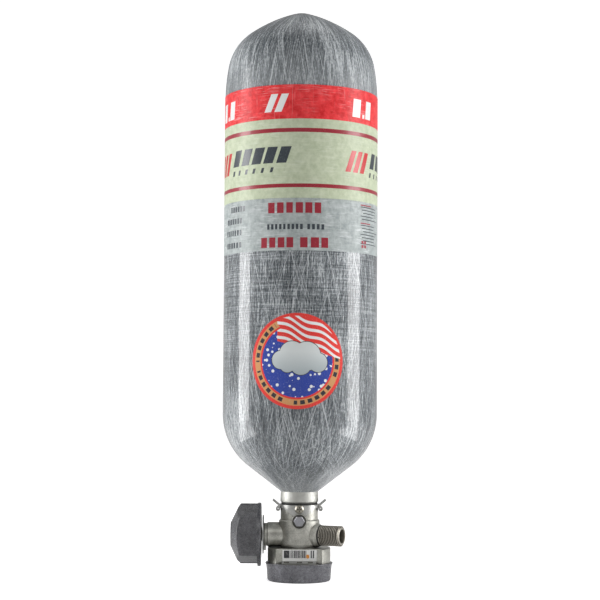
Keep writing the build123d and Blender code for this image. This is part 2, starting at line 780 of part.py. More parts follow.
with BuildPart() as gauge_housing:
    housing = turned_face(
        Plane.XY,
        (SKIRT_FOOT_Z, SKIRT_BORE_R),
        (SKIRT_FOOT_Z, SKIRT_R),
        (STEP_Z, SKIRT_R),
        (STEP_Z, HOUSING_R),
        (BODY_FOOT_Z - 0.85, HOUSING_R),
        (BODY_FOOT_Z - 0.05, HOUSING_R - 0.8),
        (BODY_FOOT_Z - 0.05, 0),
        (CAVITY_TOP_Z, 0),
        (CAVITY_TOP_Z, CAVITY_R),
        (STEP_Z, CAVITY_R),
        (STEP_Z, SKIRT_BORE_R),
    )
    revolve(housing, Axis.Z)
    # A flat front with sloping cheeks, for the sticker
    with BuildSketch(Plane.XY.offset(STEP_Z)):
        with BuildLine():
            Polyline(
                (-RECESS_HALF_W, -RECESS_DEPTH_Y),
                (-RECESS_MOUTH_HALF_W, -RECESS_MOUTH_Y),
                (-RECESS_MOUTH_HALF_W, -40),
                (RECESS_MOUTH_HALF_W, -40),
                (RECESS_MOUTH_HALF_W, -RECESS_MOUTH_Y),
                (RECESS_HALF_W, -RECESS_DEPTH_Y),
                close=True,
            )
        make_face()
    extrude(amount=20, mode=Mode.SUBTRACT)
    with BuildSketch(Plane.XY.offset(CAVITY_TOP_Z)):
        with Locations((GAUGE_STEM_X, 0)):
            Circle(GAUGE_STEM_R)
        with Locations(*HOUSING_SCREW_PLACES):
            Circle(HOUSING_SCREW_R + 0.1)
    extrude(amount=6, mode=Mode.SUBTRACT)
save(gauge_housing, "gauge_housing")

with BuildPart() as housing_screws:
    with BuildSketch(Plane.XY.offset(CAVITY_TOP_Z - 0.05 - HOUSING_SCREW_HEAD_T)):
        with Locations(*HOUSING_SCREW_PLACES):
            Circle(HOUSING_SCREW_HEAD_R)
    extrude(amount=HOUSING_SCREW_HEAD_T)
    with BuildSketch(Plane.XY.offset(CAVITY_TOP_Z - 0.05)):
        with Locations(*HOUSING_SCREW_PLACES):
            Circle(HOUSING_SCREW_R)
    extrude(amount=HOUSING_SCREW_L)
save(housing_screws, "housing_screws")

with BuildPart() as housing_sticker:
    with BuildSketch(Plane.XY.offset(STICKER_Z)):
        with Locations((0.5, -RECESS_DEPTH_Y - 0.15)):
            Rectangle(STICKER_W, STICKER_T)
    extrude(amount=STICKER_H)
save(housing_sticker, "housing_sticker")

# ---------------------------------------------------------------- gauge

CASE_R = 26.4
CASE_WALL = 0.8
LENS_Z = 5.55
GASKET_Z = 7.65
CAN_MOUTH_Z = 8.65
GAUGE_BACK_Z = 18.0
BACK_T = 0.8
BUSHING_R = 2.4
BUSHING_FOOT_Z = 14.0
STEM_FOOT_Z = 15.0
STEM_HEAD_Z = 36.3
STEM_BORE_R = 1.0
STEM_PLANE = Plane(origin=(GAUGE_STEM_X, 0, 0))
TUBE_R = 0.7
TUBE_COIL_R = 9.6
TUBE_PITCH = 1.9
TUBE_START_Z = 12.7
TUBE_RISE = 3.4
DIAL_Z = 11.0
DIAL_T = 0.6
POINTER_Z = 9.7
POINTER_L = 19.0
POINTER_SHAFT_R = 0.9
GAUGE_ZERO_TURN = 45  # degrees from +Y to the pointer's zero

with BuildPart() as gauge_stem:
    revolve(ring_face(STEM_PLANE, STEM_FOOT_Z, STEM_HEAD_Z, STEM_BORE_R, GAUGE_STEM_R - 0.05), spin_axis(STEM_PLANE))
save(gauge_stem, "gauge_stem")

with BuildPart() as gauge_can:
    can = turned_face(
        Plane.XY,
        (CAN_MOUTH_Z, CASE_R - CASE_WALL),
        (CAN_MOUTH_Z, CASE_R),
        (GAUGE_BACK_Z, CASE_R),
        (GAUGE_BACK_Z, 0),
        (GAUGE_BACK_Z - BACK_T - 0.15, 0),
        (GAUGE_BACK_Z - BACK_T - 0.15, POINTER_SHAFT_R + RUN_CLEARANCE),
        (BUSHING_FOOT_Z, POINTER_SHAFT_R + RUN_CLEARANCE),
        (BUSHING_FOOT_Z, BUSHING_R),
        (GAUGE_BACK_Z - BACK_T - 0.2, BUSHING_R),
        (GAUGE_BACK_Z - BACK_T, BUSHING_R + 0.2),
        (GAUGE_BACK_Z - BACK_T, CASE_R - CASE_WALL),
    )
    revolve(can, Axis.Z)
    with BuildSketch(STEM_PLANE.offset(GAUGE_BACK_Z)):
        Circle(GAUGE_STEM_R)
    extrude(amount=-2 * BACK_T, mode=Mode.SUBTRACT)
save(gauge_can, "gauge_can")

with BuildPart() as bourdon_tube:
    with BuildLine() as tube_path:
        Helix(pitch=TUBE_PITCH, height=TUBE_RISE, radius=TUBE_COIL_R, center=(0, 0, TUBE_START_Z))
    with BuildSketch(Plane(origin=tube_path.line @ 0, z_dir=tube_path.line % 0)):
        Circle(TUBE_R)
    sweep(is_frenet=True)
save(bourdon_tube, "bourdon_tube")

with BuildPart() as gauge_dial:
    revolve(ring_face(Plane.XY, DIAL_Z, DIAL_Z + DIAL_T, 1.3, CASE_R - CASE_WALL - 0.1), Axis.Z)
save(gauge_dial, "gauge_dial")

with BuildPart() as pointer_shaft:
    with BuildSketch(Plane.XY.offset(POINTER_Z - 0.4)):
        Circle(POINTER_SHAFT_R)
    extrude(amount=7.6)
save(pointer_shaft, "pointer_shaft")

with BuildPart() as gauge_pointer:
    with BuildSketch(Plane.XY.offset(POINTER_Z).rotated((0, 0, GAUGE_ZERO_TURN))):
        Circle(2.6)
        with BuildLine():
            Polyline(
                (-1.3, -6), (1.3, -6), (0.9, 4), (0.25, POINTER_L), (-0.25, POINTER_L), (-0.9, 4), close=True
            )
        make_face()
        Circle(POINTER_SHAFT_R + 0.05, mode=Mode.SUBTRACT)
    extrude(amount=0.6)
save(gauge_pointer, "gauge_pointer")

with BuildPart() as lens_gasket:
    revolve(ring_face(Plane.XY, GASKET_Z, CAN_MOUTH_Z - 0.05, 24.2, CASE_R), Axis.Z)
save(lens_gasket, "lens_gasket")

with BuildPart() as gauge_lens:
    with BuildSketch(Plane.XY.offset(LENS_Z)):
        Circle(CASE_R)
    extrude(amount=GASKET_Z - 0.05 - LENS_Z)
save(gauge_lens, "gauge_lens")

with BuildPart() as lens_ring:
    revolve(ring_face(Plane.XY, SKIRT_FOOT_Z + 0.1, LENS_Z - 0.05, 23.8, CASE_R + 0.1), Axis.Z)
save(lens_ring, "lens_ring")

# ---------------------------------------------------------------- bumper

with BuildPart() as bumper:
    bumper_section = turned_face(
        Plane.XY,
        (0, BUMPER_WINDOW_R),
        (0, BUMPER_FOOT_R - 1.6),
        (0.5, BUMPER_FOOT_R - 0.5),
        (1.6, BUMPER_FOOT_R),
        (STEP_Z - 2.2, BUMPER_TOP_R - 0.8),
        (STEP_Z - 0.1, BUMPER_TOP_R),
        (STEP_Z - 0.1, SKIRT_R + 0.05),
        (SKIRT_FOOT_Z - 0.05, SKIRT_R + 0.05),
        (SKIRT_FOOT_Z - 0.05, BUMPER_WINDOW_R),
    )
    revolve(bumper_section, Axis.Z)
save(bumper, "bumper")

CLIP_HALF_L = 17.5
CLIP_T = 2.2
CLIP_H = 2.5
CLIP_NOTCHES = (-12.8, 0.4, 11.4)
clip_mid_y = -RECESS_DEPTH_Y - 0.8 - CLIP_T / 2
with BuildPart() as bumper_clip:
    with BuildSketch(Plane.XY.offset(STEP_Z + 0.05)):
        with Locations((0, clip_mid_y)):
            Rectangle(2 * CLIP_HALF_L, CLIP_T)
    extrude(amount=CLIP_H)
    with BuildSketch(Plane.XZ.offset(RECESS_DEPTH_Y)):
        with Locations(*[(x, STEP_Z + 1.9) for x in CLIP_NOTCHES]):
            Rectangle(5, 2.2)
    extrude(amount=5, mode=Mode.SUBTRACT)
save(bumper_clip, "bumper_clip")
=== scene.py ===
import json
import random
from math import cos, exp, log, pi, radians, sin, sqrt

import bmesh
import bpy
from mathutils import Matrix, Vector


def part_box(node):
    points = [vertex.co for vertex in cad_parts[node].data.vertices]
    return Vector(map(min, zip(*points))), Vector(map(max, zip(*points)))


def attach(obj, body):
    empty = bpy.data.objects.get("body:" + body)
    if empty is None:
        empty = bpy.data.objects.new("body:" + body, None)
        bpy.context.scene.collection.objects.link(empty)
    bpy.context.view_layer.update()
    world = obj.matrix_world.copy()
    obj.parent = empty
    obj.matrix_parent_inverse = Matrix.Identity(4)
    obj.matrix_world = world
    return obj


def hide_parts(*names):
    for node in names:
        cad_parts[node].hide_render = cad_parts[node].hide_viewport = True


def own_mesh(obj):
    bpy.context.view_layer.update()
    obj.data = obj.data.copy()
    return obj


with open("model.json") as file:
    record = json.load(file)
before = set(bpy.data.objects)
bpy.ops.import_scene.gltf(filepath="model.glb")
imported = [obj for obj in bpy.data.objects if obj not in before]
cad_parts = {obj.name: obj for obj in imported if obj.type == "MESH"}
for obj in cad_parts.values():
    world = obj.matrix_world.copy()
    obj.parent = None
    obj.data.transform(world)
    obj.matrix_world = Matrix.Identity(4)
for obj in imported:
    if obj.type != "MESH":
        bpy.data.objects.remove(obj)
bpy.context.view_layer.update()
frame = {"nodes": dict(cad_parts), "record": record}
nodes = frame["nodes"]
record = frame["record"]
random.seed(7)

MM = 0.001

# The vessel's outline, as in the CAD, in millimetres
WALL_R = 80.0
SHOULDER_R = 67.5
SHOULDER_Z = 171.0
CONE_TILT = 52.0
WALL_TOP_Z = 495.4
DOME_ARCS = ((226.0, 9.6), (53.0, 55.0), (176.0, 72.0))
NECK_R = 19.35
WRAP_FOOT_Z = 91.2
SHELL_T = 1.6
LABEL_R = 80.17
LABEL_T = 0.15
PRINT_T = 0.05
WALL_STEPS = 256  # segments round the vessel

AXIS_Z = 46.8
OUTLET_TURN = 25.0


# ---------------- mesh helpers


def placed(name, data):
    """A new object for a mesh, light or camera, linked to the scene."""
    obj = bpy.data.objects.new(name, data)
    bpy.context.scene.collection.objects.link(obj)
    return obj


def mesh_object(name, verts, faces, smooth=True, sharp=35.0):
    """A mesh object in metres from millimetre points, smooth apart from its sharp edges."""
    mesh = bpy.data.meshes.new(name)
    mesh.from_pydata([(x * MM, y * MM, z * MM) for x, y, z in verts], [], faces)
    bm = bmesh.new()
    bm.from_mesh(mesh)
    bmesh.ops.recalc_face_normals(bm, faces=bm.faces)
    for edge in bm.edges:
        if len(edge.link_faces) == 2 and edge.calc_face_angle(0) > radians(sharp):
            edge.smooth = False
    for face in bm.faces:
        face.smooth = smooth
    bm.to_mesh(mesh)
    bm.free()
    return placed(name, mesh)


def turned_place(axis_name):
    """Maps (distance out, radius, angle) to a point, for the axis of vessel, wheel or outlet."""
    turn = radians(OUTLET_TURN)
    frames = {
        "vessel": (Vector((0, 0, 0)), Vector((0, 0, 1)), Vector((1, 0, 0)), Vector((0, 1, 0))),
        "wheel": (Vector((0, 0, AXIS_Z)), Vector((-1, 0, 0)), Vector((0, -1, 0)), Vector((0, 0, 1))),
        "outlet": (
            Vector((0, 0, AXIS_Z)),
            Vector((cos(turn), -sin(turn), 0)),
            Vector((sin(turn), cos(turn), 0)),
            Vector((0, 0, 1)),
        ),
    }
    origin, out, across, up = frames[axis_name]

    def place(distance, radius, angle):
        return origin + out * distance + (across * cos(angle) + up * sin(angle)) * radius

    return place


def turned(name, axis_name, outline, segments, reshape=None, sharp=35.0):
    """A closed outline of (distance, radius) points turned about an axis. reshape may move a point."""
    place = turned_place(axis_name)
    verts, faces = [], []
    count = len(outline)
    for step in range(segments):
        angle = 2 * pi * step / segments
        for index, (distance, radius) in enumerate(outline):
            if reshape:
                distance, radius = reshape(index, distance, radius, angle)
            verts.append(place(distance, radius, angle))
    for step in range(segments):
        here, after = step * count, (step + 1) % segments * count
        for index in range(count):
            following = (index + 1) % count
            faces.append((here + index, here + following, after + following, after + index))
    obj = mesh_object(name, verts, faces, sharp=sharp)
    bm = bmesh.new()
    bm.from_mesh(obj.data)
    bmesh.ops.remove_doubles(bm, verts=bm.verts, dist=1e-7)
    bmesh.ops.dissolve_degenerate(bm, dist=1e-8, edges=bm.edges)
    bm.to_mesh(obj.data)
    bm.free()
    return obj


def rounded(points, radius, steps=4):
    """The same closed outline with each of its corners rounded."""
    result = []
    count = len(points)
    for index, point in enumerate(points):
        here = Vector(point)
        before = Vector(points[index - 1]) - here
        after = Vector(points[(index + 1) % count]) - here
        reach = min(radius, 0.45 * before.length, 0.45 * after.length)
        start = here + before.normalized() * reach
        end = here + after.normalized() * reach
        for step in range(steps + 1):
            t = step / steps
            result.append(tuple(start * (1 - t) ** 2 + here * 2 * t * (1 - t) + end * t * t))
    return result


# ---------------- material helpers


class Paint:
    """A node material with short names for the nodes that the looks below use."""

    def __init__(self, name):
        self.material = bpy.data.materials.new(name)
        self.material.use_nodes = True
        self.tree = self.material.node_tree
        self.shader = self.tree.nodes["Principled BSDF"]

    def add(self, kind, *values, **settings):
        node = self.tree.nodes.new("ShaderNode" + kind)
        for key, value in settings.items():
            setattr(node, key, value)
        for socket, value in zip(node.inputs, values):
            self.put(socket, value)
        return node

    def put(self, socket, value):
        if isinstance(value, bpy.types.NodeSocket):
            self.tree.links.new(value, socket)
        elif value is not None:
            socket.default_value = value

    def set(self, **values):
        """Values and links for the shader, by socket name with _ for a space."""
        for key, value in values.items():
            self.put(self.shader.inputs[key.replace("_", " ")], value)

    def where(self):
        return self.add("TexCoord").outputs["Object"]

    def split(self, vector):
        return self.add("SeparateXYZ", vector).outputs

    def join(self, x, y, z):
        return self.add("CombineXYZ", x, y, z).outputs[0]

    def math(self, operation, *values):
        return self.add("Math", *values, operation=operation).outputs[0]

    def length(self, first, second):
        squares = [self.math("MULTIPLY", side, side) for side in (first, second)]
        return self.math("SQRT", self.math("ADD", *squares))

    def between(self, value, low, high):
        """1 where a value lies between two limits, else 0."""
        above = self.math("GREATER_THAN", value, low)
        return self.math("MULTIPLY", above, self.math("LESS_THAN", value, high))

    def noise(self, vector, scale, detail=3.0, roughness=0.55):
        node = self.add("TexNoise")
        self.put(node.inputs["Vector"], vector)
        node.inputs["Scale"].default_value = scale
        node.inputs["Detail"].default_value = detail
        node.inputs["Roughness"].default_value = roughness
        return node.outputs["Fac"]

    def cells(self, vector, scale, randomness=1.0):
        node = self.add("TexVoronoi")
        self.put(node.inputs["Vector"], vector)
        node.inputs["Scale"].default_value = scale
        node.inputs["Randomness"].default_value = randomness
        return node.outputs["Distance"]

    def ramp(self, fac, *stops):
        """Grey or colour stops of (position, value)."""
        node = self.add("ValToRGB")
        elements = node.color_ramp.elements
        while len(elements) < len(stops):
            elements.new(0.5)
        for element, (position, value) in zip(elements, stops):
            element.position = position
            element.color = (*value, 1) if isinstance(value, tuple) else (value, value, value, 1)
        self.put(node.inputs["Fac"], fac)
        return node.outputs["Color"]

    def spread(self, fac, low, high, to_low=0.0, to_high=1.0):
        node = self.add("MapRange", fac, low, high, to_low, to_high)
        return node.outputs[0]

    def mix(self, fac, first, second):
        node = self.add("Mix", data_type="RGBA")
        self.put(node.inputs[0], fac)
        for socket, value in ((node.inputs[6], first), (node.inputs[7], second)):
            self.put(socket, (*value, 1) if isinstance(value, tuple) else value)
        return node.outputs[2]

    def bump(self, height, strength, distance, normal=None):
        node = self.add("Bump")
        node.inputs["Strength"].default_value = strength
        node.inputs["Distance"].default_value = distance
        self.put(node.inputs["Height"], height)
        if normal is not None:
            self.put(node.inputs["Normal"], normal)
        return node.outputs[0]

    def soft_edges(self, radius):
        node = self.add("Bevel", samples=4)
        node.inputs["Radius"].default_value = radius
        return node.outputs[0]


def scaled(paint, vector, x, y, z):
    return paint.add("VectorMath", vector, (x, y, z), operation="MULTIPLY").outputs[0]


def dull_metal(name, dark, light, roughness, grain, pits=0.0, metallic=1.0, edge=0.0002, grime=0.0):
    """Cast or machined metal: cloudy tone, fine grain, small pits, softened edges, and crevices darkened by
    painted shade that also stands for grime.
    """
    p = Paint(name)
    spot = p.where()
    clouds = p.noise(spot, 90, 3)
    fine = p.noise(spot, grain, 4, 0.65)
    tone = p.math("ADD", p.math("MULTIPLY", clouds, 0.45), p.math("MULTIPLY", fine, 0.55))
    colour = p.ramp(tone, (0.32, dark), (0.68, light))
    height = fine
    if pits:
        hole = p.spread(p.cells(spot, 420), 0.0, 0.16, 0.0, 1.0)
        rare = p.spread(p.noise(spot, 160, 2), 0.52, 0.60, 1.0, 0.0)
        hole = p.math("MAXIMUM", hole, rare)
        colour = p.mix(p.math("MULTIPLY", p.math("SUBTRACT", 1.0, hole), pits), colour, (0.05, 0.05, 0.045))
        height = p.math("ADD", p.math("MULTIPLY", fine, 0.4), hole)
    # Painted shade: the AO node darkens the colour in crevices, where shade falls, and this also stands for
    # grime gathered there
    if grime:
        node = p.add("AmbientOcclusion")
        node.inputs["Distance"].default_value = 0.0035
        crevice_shade = p.spread(node.outputs["AO"], 0.35, 0.85, grime, 0.0)
        colour = p.mix(crevice_shade, colour, (0.035, 0.033, 0.028))
    p.set(
        Base_Color=colour,
        Metallic=metallic,
        Roughness=p.spread(fine, 0.3, 0.7, roughness - 0.07, roughness + 0.09),
        Normal=p.bump(height, 0.22, 0.00012, p.soft_edges(edge)),
    )
    return p.material


def moulded(name, dark, light, roughness, speckle, bump):
    """Moulded rubber or plastic with fine texture and paler specks."""
    p = Paint(name)
    spot = p.where()
    fine = p.noise(spot, speckle, 5, 0.7)
    clouds = p.noise(spot, 60, 3)
    tone = p.math("ADD", p.math("MULTIPLY", clouds, 0.5), p.math("MULTIPLY", fine, 0.5))
    p.set(
        Base_Color=p.ramp(tone, (0.36, dark), (0.66, light)),
        Roughness=p.spread(fine, 0.3, 0.7, roughness + 0.08, roughness - 0.08),
        Normal=p.bump(fine, bump, 0.00015, p.soft_edges(0.0003)),
    )
    return p.material


def around(paint, spot):
    """The angle round the vessel's axis, 0 at the front and rising to the right."""
    x, y, _ = paint.split(spot)
    return paint.math("ARCTAN2", x, paint.math("MULTIPLY", y, -1.0))


def strands(paint, angle, along, lean, width, length, detail=2.0, roughness=0.6):
    """Streak noise on the vessel that runs along it, leaning by so many radians a metre."""
    turned_by = paint.math("ADD", angle, paint.math("MULTIPLY", along, lean))
    spot = paint.join(
        paint.math("MULTIPLY", paint.math("COSINE", turned_by), width),
        paint.math("MULTIPLY", paint.math("SINE", turned_by), width),
        paint.math("MULTIPLY", along, length),
    )
    return paint.noise(spot, 1.0, detail, roughness)


# Heights in metres between which the winding's look changes
CONE_FADE = (0.100, 0.165)
LOW_END_FADE = (0.150, 0.210)
WALL_FOOT_FADE = (0.185, 0.255)
WALL_HEAD_FADE = (0.475, 0.505)
DOME_FADE = (0.480, 0.510)


def fibre_wrap():
    """Filament-wound glass and carbon under a clear gloss resin."""
    p = Paint("fibre_wrap")
    spot = p.where()
    _, _, z = p.split(spot)
    angle = around(p, spot)
    along = p.add("Attribute", attribute_name="meridian").outputs["Fac"]
    right = strands(p, angle, along, 1.9, 62, 13)
    left = strands(p, angle, along, -1.9, 70, 15)
    fine = strands(p, angle, along, 0.5, 190, 24, 3.0)
    round_it = p.join(p.math("COSINE", angle), p.math("SINE", angle), p.math("MULTIPLY", along, 620))
    hoop = p.noise(round_it, 1.6, 3, 0.65)
    # On the lower cone the windings cross steeply; hoops lie on the straight wall only
    steep_a = strands(p, angle, along, 17.0, 26, 18)
    steep_b = strands(p, angle, along, -17.0, 30, 18)
    low = p.spread(z, *CONE_FADE, 1.0, 0.0)
    wall = p.math("MULTIPLY", p.spread(z, *WALL_FOOT_FADE), p.spread(z, *WALL_HEAD_FADE, 1.0, 0.0))
    crossed = p.math("MAXIMUM", right, left)
    steep = p.math("MAXIMUM", steep_a, steep_b)
    steep_share = p.math("MULTIPLY", low, 0.65)
    weave = p.math(
        "ADD",
        p.math("MULTIPLY", crossed, p.math("SUBTRACT", 1.0, steep_share)),
        p.math("MULTIPLY", steep, steep_share),
    )
    # Strands are broader towards both ends
    ends = p.math("MAXIMUM", p.spread(z, *LOW_END_FADE, 1.0, 0.0), p.spread(z, *DOME_FADE))
    share = p.spread(ends, 0.0, 1.0, 0.34, 0.66)
    tone = p.math("ADD", fine, p.math("MULTIPLY", share, p.math("SUBTRACT", weave, fine)))
    patchy = p.noise(spot, 22, 3)
    grit = p.noise(scaled(p, spot, 1.0, 1.0, 0.55), 620, 3, 0.7)
    for layer, weight in ((hoop, p.math("MULTIPLY", wall, 0.34)), (patchy, 0.22), (grit, 0.34)):
        tone = p.math("ADD", tone, p.math("MULTIPLY", p.math("SUBTRACT", layer, 0.5), weight))
    # The contrast is lower on the straight wall than at the dome and the cone
    strong = p.math("MINIMUM", p.spread(z, *LOW_END_FADE, 3.4, 1.5), p.spread(z, *DOME_FADE, 1.5, 2.0))
    tone = p.math("ADD", p.math("MULTIPLY", p.math("SUBTRACT", tone, 0.51), strong), 0.51)
    tone = p.math("ADD", tone, p.math("MULTIPLY", ends, 0.015))
    colour = p.ramp(
        tone,
        (0.34, (0.022, 0.027, 0.032)),
        (0.48, (0.088, 0.101, 0.112)),
        (0.57, (0.172, 0.190, 0.203)),
        (0.74, (0.60, 0.63, 0.65)),
    )
    colour = p.mix(p.spread(z, 0.092, 0.122, 0.45, 0.0), colour, (0.42, 0.43, 0.44))
    # Single bright glass strands lie over the rest
    one_way = p.spread(strands(p, angle, along, 4.2, 110, 9, 1.0), 0.64, 0.70, 0.0, 0.6)
    other_way = p.spread(strands(p, angle, along, -3.6, 100, 8, 1.0), 0.64, 0.70, 0.0, 0.6)
    strand = p.math("MULTIPLY", p.math("MAXIMUM", one_way, other_way), p.spread(z, 0.47, 0.51, 1.0, 0.45))
    colour = p.mix(strand, colour, (0.74, 0.77, 0.79))
    # The dome is paler at its foot and darker at its tip
    foot = p.math("MULTIPLY", p.spread(z, 0.500, 0.502), p.spread(z, 0.502, 0.545, 0.34, 0.0))
    colour = p.mix(foot, colour, (0.36, 0.38, 0.39))
    colour = p.mix(p.spread(z, 0.575, 0.590, 0.0, 0.45), colour, (0.05, 0.055, 0.06))
    p.set(
        Base_Color=colour,
        Roughness=0.42,
        Specular_IOR_Level=0.30,
        Coat_Weight=p.spread(z, 0.340, 0.500, 1.0, 0.18),
        Coat_Roughness=0.045,
        Coat_IOR=1.5,
        Normal=p.bump(tone, 0.25, 0.0002),
    )
    ripple = p.bump(p.noise(spot, 55, 2), 0.10, 0.0006)
    p.put(p.shader.inputs["Coat Normal"], ripple)
    return p.material


def label_film(name, dark, light, scratch, scratch_share):
    """Printed film under resin: slight mottling and thin pale scratches round the vessel."""
    p = Paint(name)
    spot = p.where()
    _, _, z = p.split(spot)
    angle = around(p, spot)
    mottle = p.noise(spot, 170, 4, 0.65)
    lines = strands(p, angle, z, 0.0, 4.5, 900, 3, 0.7)
    cross = strands(p, angle, z, 0.0, 60, 40, 2, 0.55)
    colour = p.mix(p.spread(mottle, 0.35, 0.65), dark, light)
    worn = p.spread(lines, 0.52, 0.68, 0.0, scratch_share)
    worn = p.math("MULTIPLY", worn, p.spread(p.noise(spot, 35, 2), 0.4, 0.6))
    worn = p.math("MAXIMUM", worn, p.spread(cross, 0.62, 0.8, 0.0, scratch_share * 0.5))
    p.set(
        Base_Color=p.mix(worn, colour, scratch),
        Roughness=p.spread(mottle, 0.3, 0.7, 0.37, 0.50),
        Specular_IOR_Level=0.2,
        Coat_Weight=0.10,
        Coat_Roughness=0.12,
        Normal=p.bump(lines, 0.05, 0.0001),
    )
    return p.material


def ink(name, colour, worn_to):
    """Printed ink with a slight wear pattern."""
    p = Paint(name)
    spot = p.where()
    wear = p.spread(p.noise(spot, 700, 4, 0.7), 0.55, 0.72, 0.0, 0.35)
    p.set(Base_Color=p.mix(wear, colour, worn_to), Roughness=0.34, Coat_Weight=0.3, Coat_Roughness=0.12)
    return p.material


DECAL_Z = 224.1
DECAL_HALF_W = 47.6  # along the wall
DECAL_HALF_H = 47.6
DECAL_TURN = -2.2  # degrees to the right of the front

# The rest of the emblem's sizes are shares of its radius
CLOUD_DISCS = (  # across, up and radius of each
    (-0.34, 0.02, 0.19),
    (-0.10, 0.14, 0.27),
    (0.20, 0.10, 0.30),
    (0.44, -0.03, 0.20),
    (0.08, -0.07, 0.22),
    (-0.2, -0.08, 0.16),
)
CLOUD_LINE = 0.014
FIELD_EDGE = 0.76
RING_EDGES = (0.80, 0.93)
MARK_EDGES = (0.822, 0.905)
STRIPES_EDGE = 0.94


def decal_print():
    """A round emblem: red and gold rings, a blue field with pale dots, wavy stripes and a plain cloud."""
    p = Paint("decal_print")
    spot = p.where()
    _, _, z = p.split(spot)
    off_centre = p.math("SUBTRACT", around(p, spot), radians(DECAL_TURN))
    arc = p.math("MULTIPLY", off_centre, WALL_R / DECAL_HALF_W)
    rise = p.math("DIVIDE", p.math("SUBTRACT", z, DECAL_Z * MM), DECAL_HALF_H * MM)
    radius = p.length(arc, rise)
    bearing = p.math("ARCTAN2", rise, arc)
    red, gold, blue = (0.80, 0.040, 0.03), (0.66, 0.32, 0.12), (0.022, 0.055, 0.36)
    pale, white, dark = (0.70, 0.74, 0.74), (0.86, 0.87, 0.87), (0.02, 0.02, 0.03)
    cloth = p.noise(spot, 900, 3)
    # Blue field with dots
    flat = p.join(arc, rise, 0.0)
    dots = p.math("LESS_THAN", p.cells(flat, 9.0, 0.75), 0.30)
    field = p.mix(dots, blue, white)
    # Plain cloud, a union of discs
    cloud = None
    for x, y, size in CLOUD_DISCS:
        away = p.length(p.math("SUBTRACT", arc, x), p.math("SUBTRACT", rise, y))
        away = p.math("SUBTRACT", away, size)
        cloud = away if cloud is None else p.math("MINIMUM", cloud, away)
    # Wavy stripes across the upper right
    swing = p.math("MULTIPLY", p.math("SINE", p.math("MULTIPLY", arc, 9.0)), 1.5)
    lean = p.math("ADD", p.math("MULTIPLY", rise, 42.0), p.math("MULTIPLY", arc, 18.0))
    stripe = p.math("GREATER_THAN", p.math("SINE", p.math("ADD", lean, swing)), 0.25)
    flow = p.mix(stripe, red, white)
    over = p.math("GREATER_THAN", rise, p.math("SUBTRACT", 0.30, p.math("MULTIPLY", arc, 0.27)))
    over = p.math("MULTIPLY", over, p.math("GREATER_THAN", arc, -0.42))
    # Rings, and plain blocks round them in place of words
    blocks = p.math("GREATER_THAN", p.math("SINE", p.math("MULTIPLY", bearing, 34.0)), -0.35)
    groups = p.math("SINE", p.math("ADD", p.math("MULTIPLY", bearing, 5.0), 0.9))
    words = p.math("GREATER_THAN", groups, -0.86)
    band = p.between(radius, *MARK_EDGES)
    marks = p.math("MULTIPLY", p.math("MULTIPLY", blocks, words), band)
    ring = p.mix(marks, gold, dark)
    colour = p.mix(over, field, flow)
    colour = p.mix(p.math("LESS_THAN", cloud, CLOUD_LINE), colour, dark)
    vapour = p.mix(p.spread(rise, -0.25, 0.2), (0.42, 0.48, 0.50), pale)
    colour = p.mix(p.math("LESS_THAN", cloud, 0.0), colour, vapour)
    inside = p.math("LESS_THAN", radius, FIELD_EDGE)
    # The stripes cross the inner ring at the upper right
    crossing = p.math("MULTIPLY", over, p.math("GREATER_THAN", p.math("ADD", arc, rise), 0.35))
    crossing = p.math("MULTIPLY", crossing, p.math("LESS_THAN", radius, STRIPES_EDGE))
    inner_rim = p.mix(p.math("LESS_THAN", radius, RING_EDGES[0]), ring, red)
    outside = p.mix(p.math("LESS_THAN", radius, RING_EDGES[1]), red, inner_rim)
    colour = p.mix(p.math("MAXIMUM", inside, crossing), outside, colour)
    colour = p.mix(p.spread(cloth, 0.55, 0.75, 0.0, 0.16), colour, (0.7, 0.7, 0.7))
    p.set(Base_Color=colour, Roughness=0.28, Coat_Weight=0.6, Coat_Roughness=0.08)
    return p.material


def bare_aluminium():
    """Turned aluminium: fine rings round the axis."""
    p = Paint("turned_aluminium")
    spot = p.where()
    _, _, z = p.split(spot)
    rings = p.noise(p.join(0.0, 0.0, p.math("MULTIPLY", z, 1500)), 1.0, 3)
    clouds = p.noise(spot, 120, 3)
    p.set(
        Base_Color=p.ramp(clouds, (0.3, (0.46, 0.46, 0.43)), (0.7, (0.58, 0.58, 0.55))),
        Metallic=1.0,
        Roughness=p.spread(rings, 0.3, 0.7, 0.48, 0.58),
        Normal=p.bump(rings, 0.06, 0.0001),
    )
    return p.material


def carbon_layer():
    """Dark crossed tows, seen only where the outer layer is cut away."""
    p = Paint("carbon_layer")
    spot = p.where()
    _, _, z = p.split(spot)
    angle = around(p, spot)
    a = strands(p, angle, z, 6.0, 90, 20)
    b = strands(p, angle, z, -6.0, 90, 20)
    tone = p.math("MAXIMUM", a, b)
    p.set(
        Base_Color=p.ramp(tone, (0.4, (0.012, 0.012, 0.014)), (0.7, (0.055, 0.058, 0.064))),
        Roughness=0.4,
        Normal=p.bump(tone, 0.3, 0.0002),
    )
    return p.material


def clear_lens():
    p = Paint("clear_lens")
    haze = p.noise(p.where(), 500, 3)
    p.set(
        Base_Color=p.ramp(haze, (0.3, (0.93, 0.96, 0.96)), (0.7, (1.0, 1.0, 1.0))),
        Roughness=p.spread(haze, 0.3, 0.7, 0.0, 0.05),
        Transmission_Weight=1.0,
        IOR=1.49,
    )
    return p.material


# The sticker's print: its row, then each mark's left and right edge, in metres
STICKER_ROW = (0.0246, 0.0322)
STICKER_BLOCK = (-0.0155, -0.0100)
STICKER_BARS = (-0.0095, 0.0075)
STICKER_STRIPES = (0.0115, 0.0160)
STICKER_SPOT = (0.0088, 0.0262)  # across and up


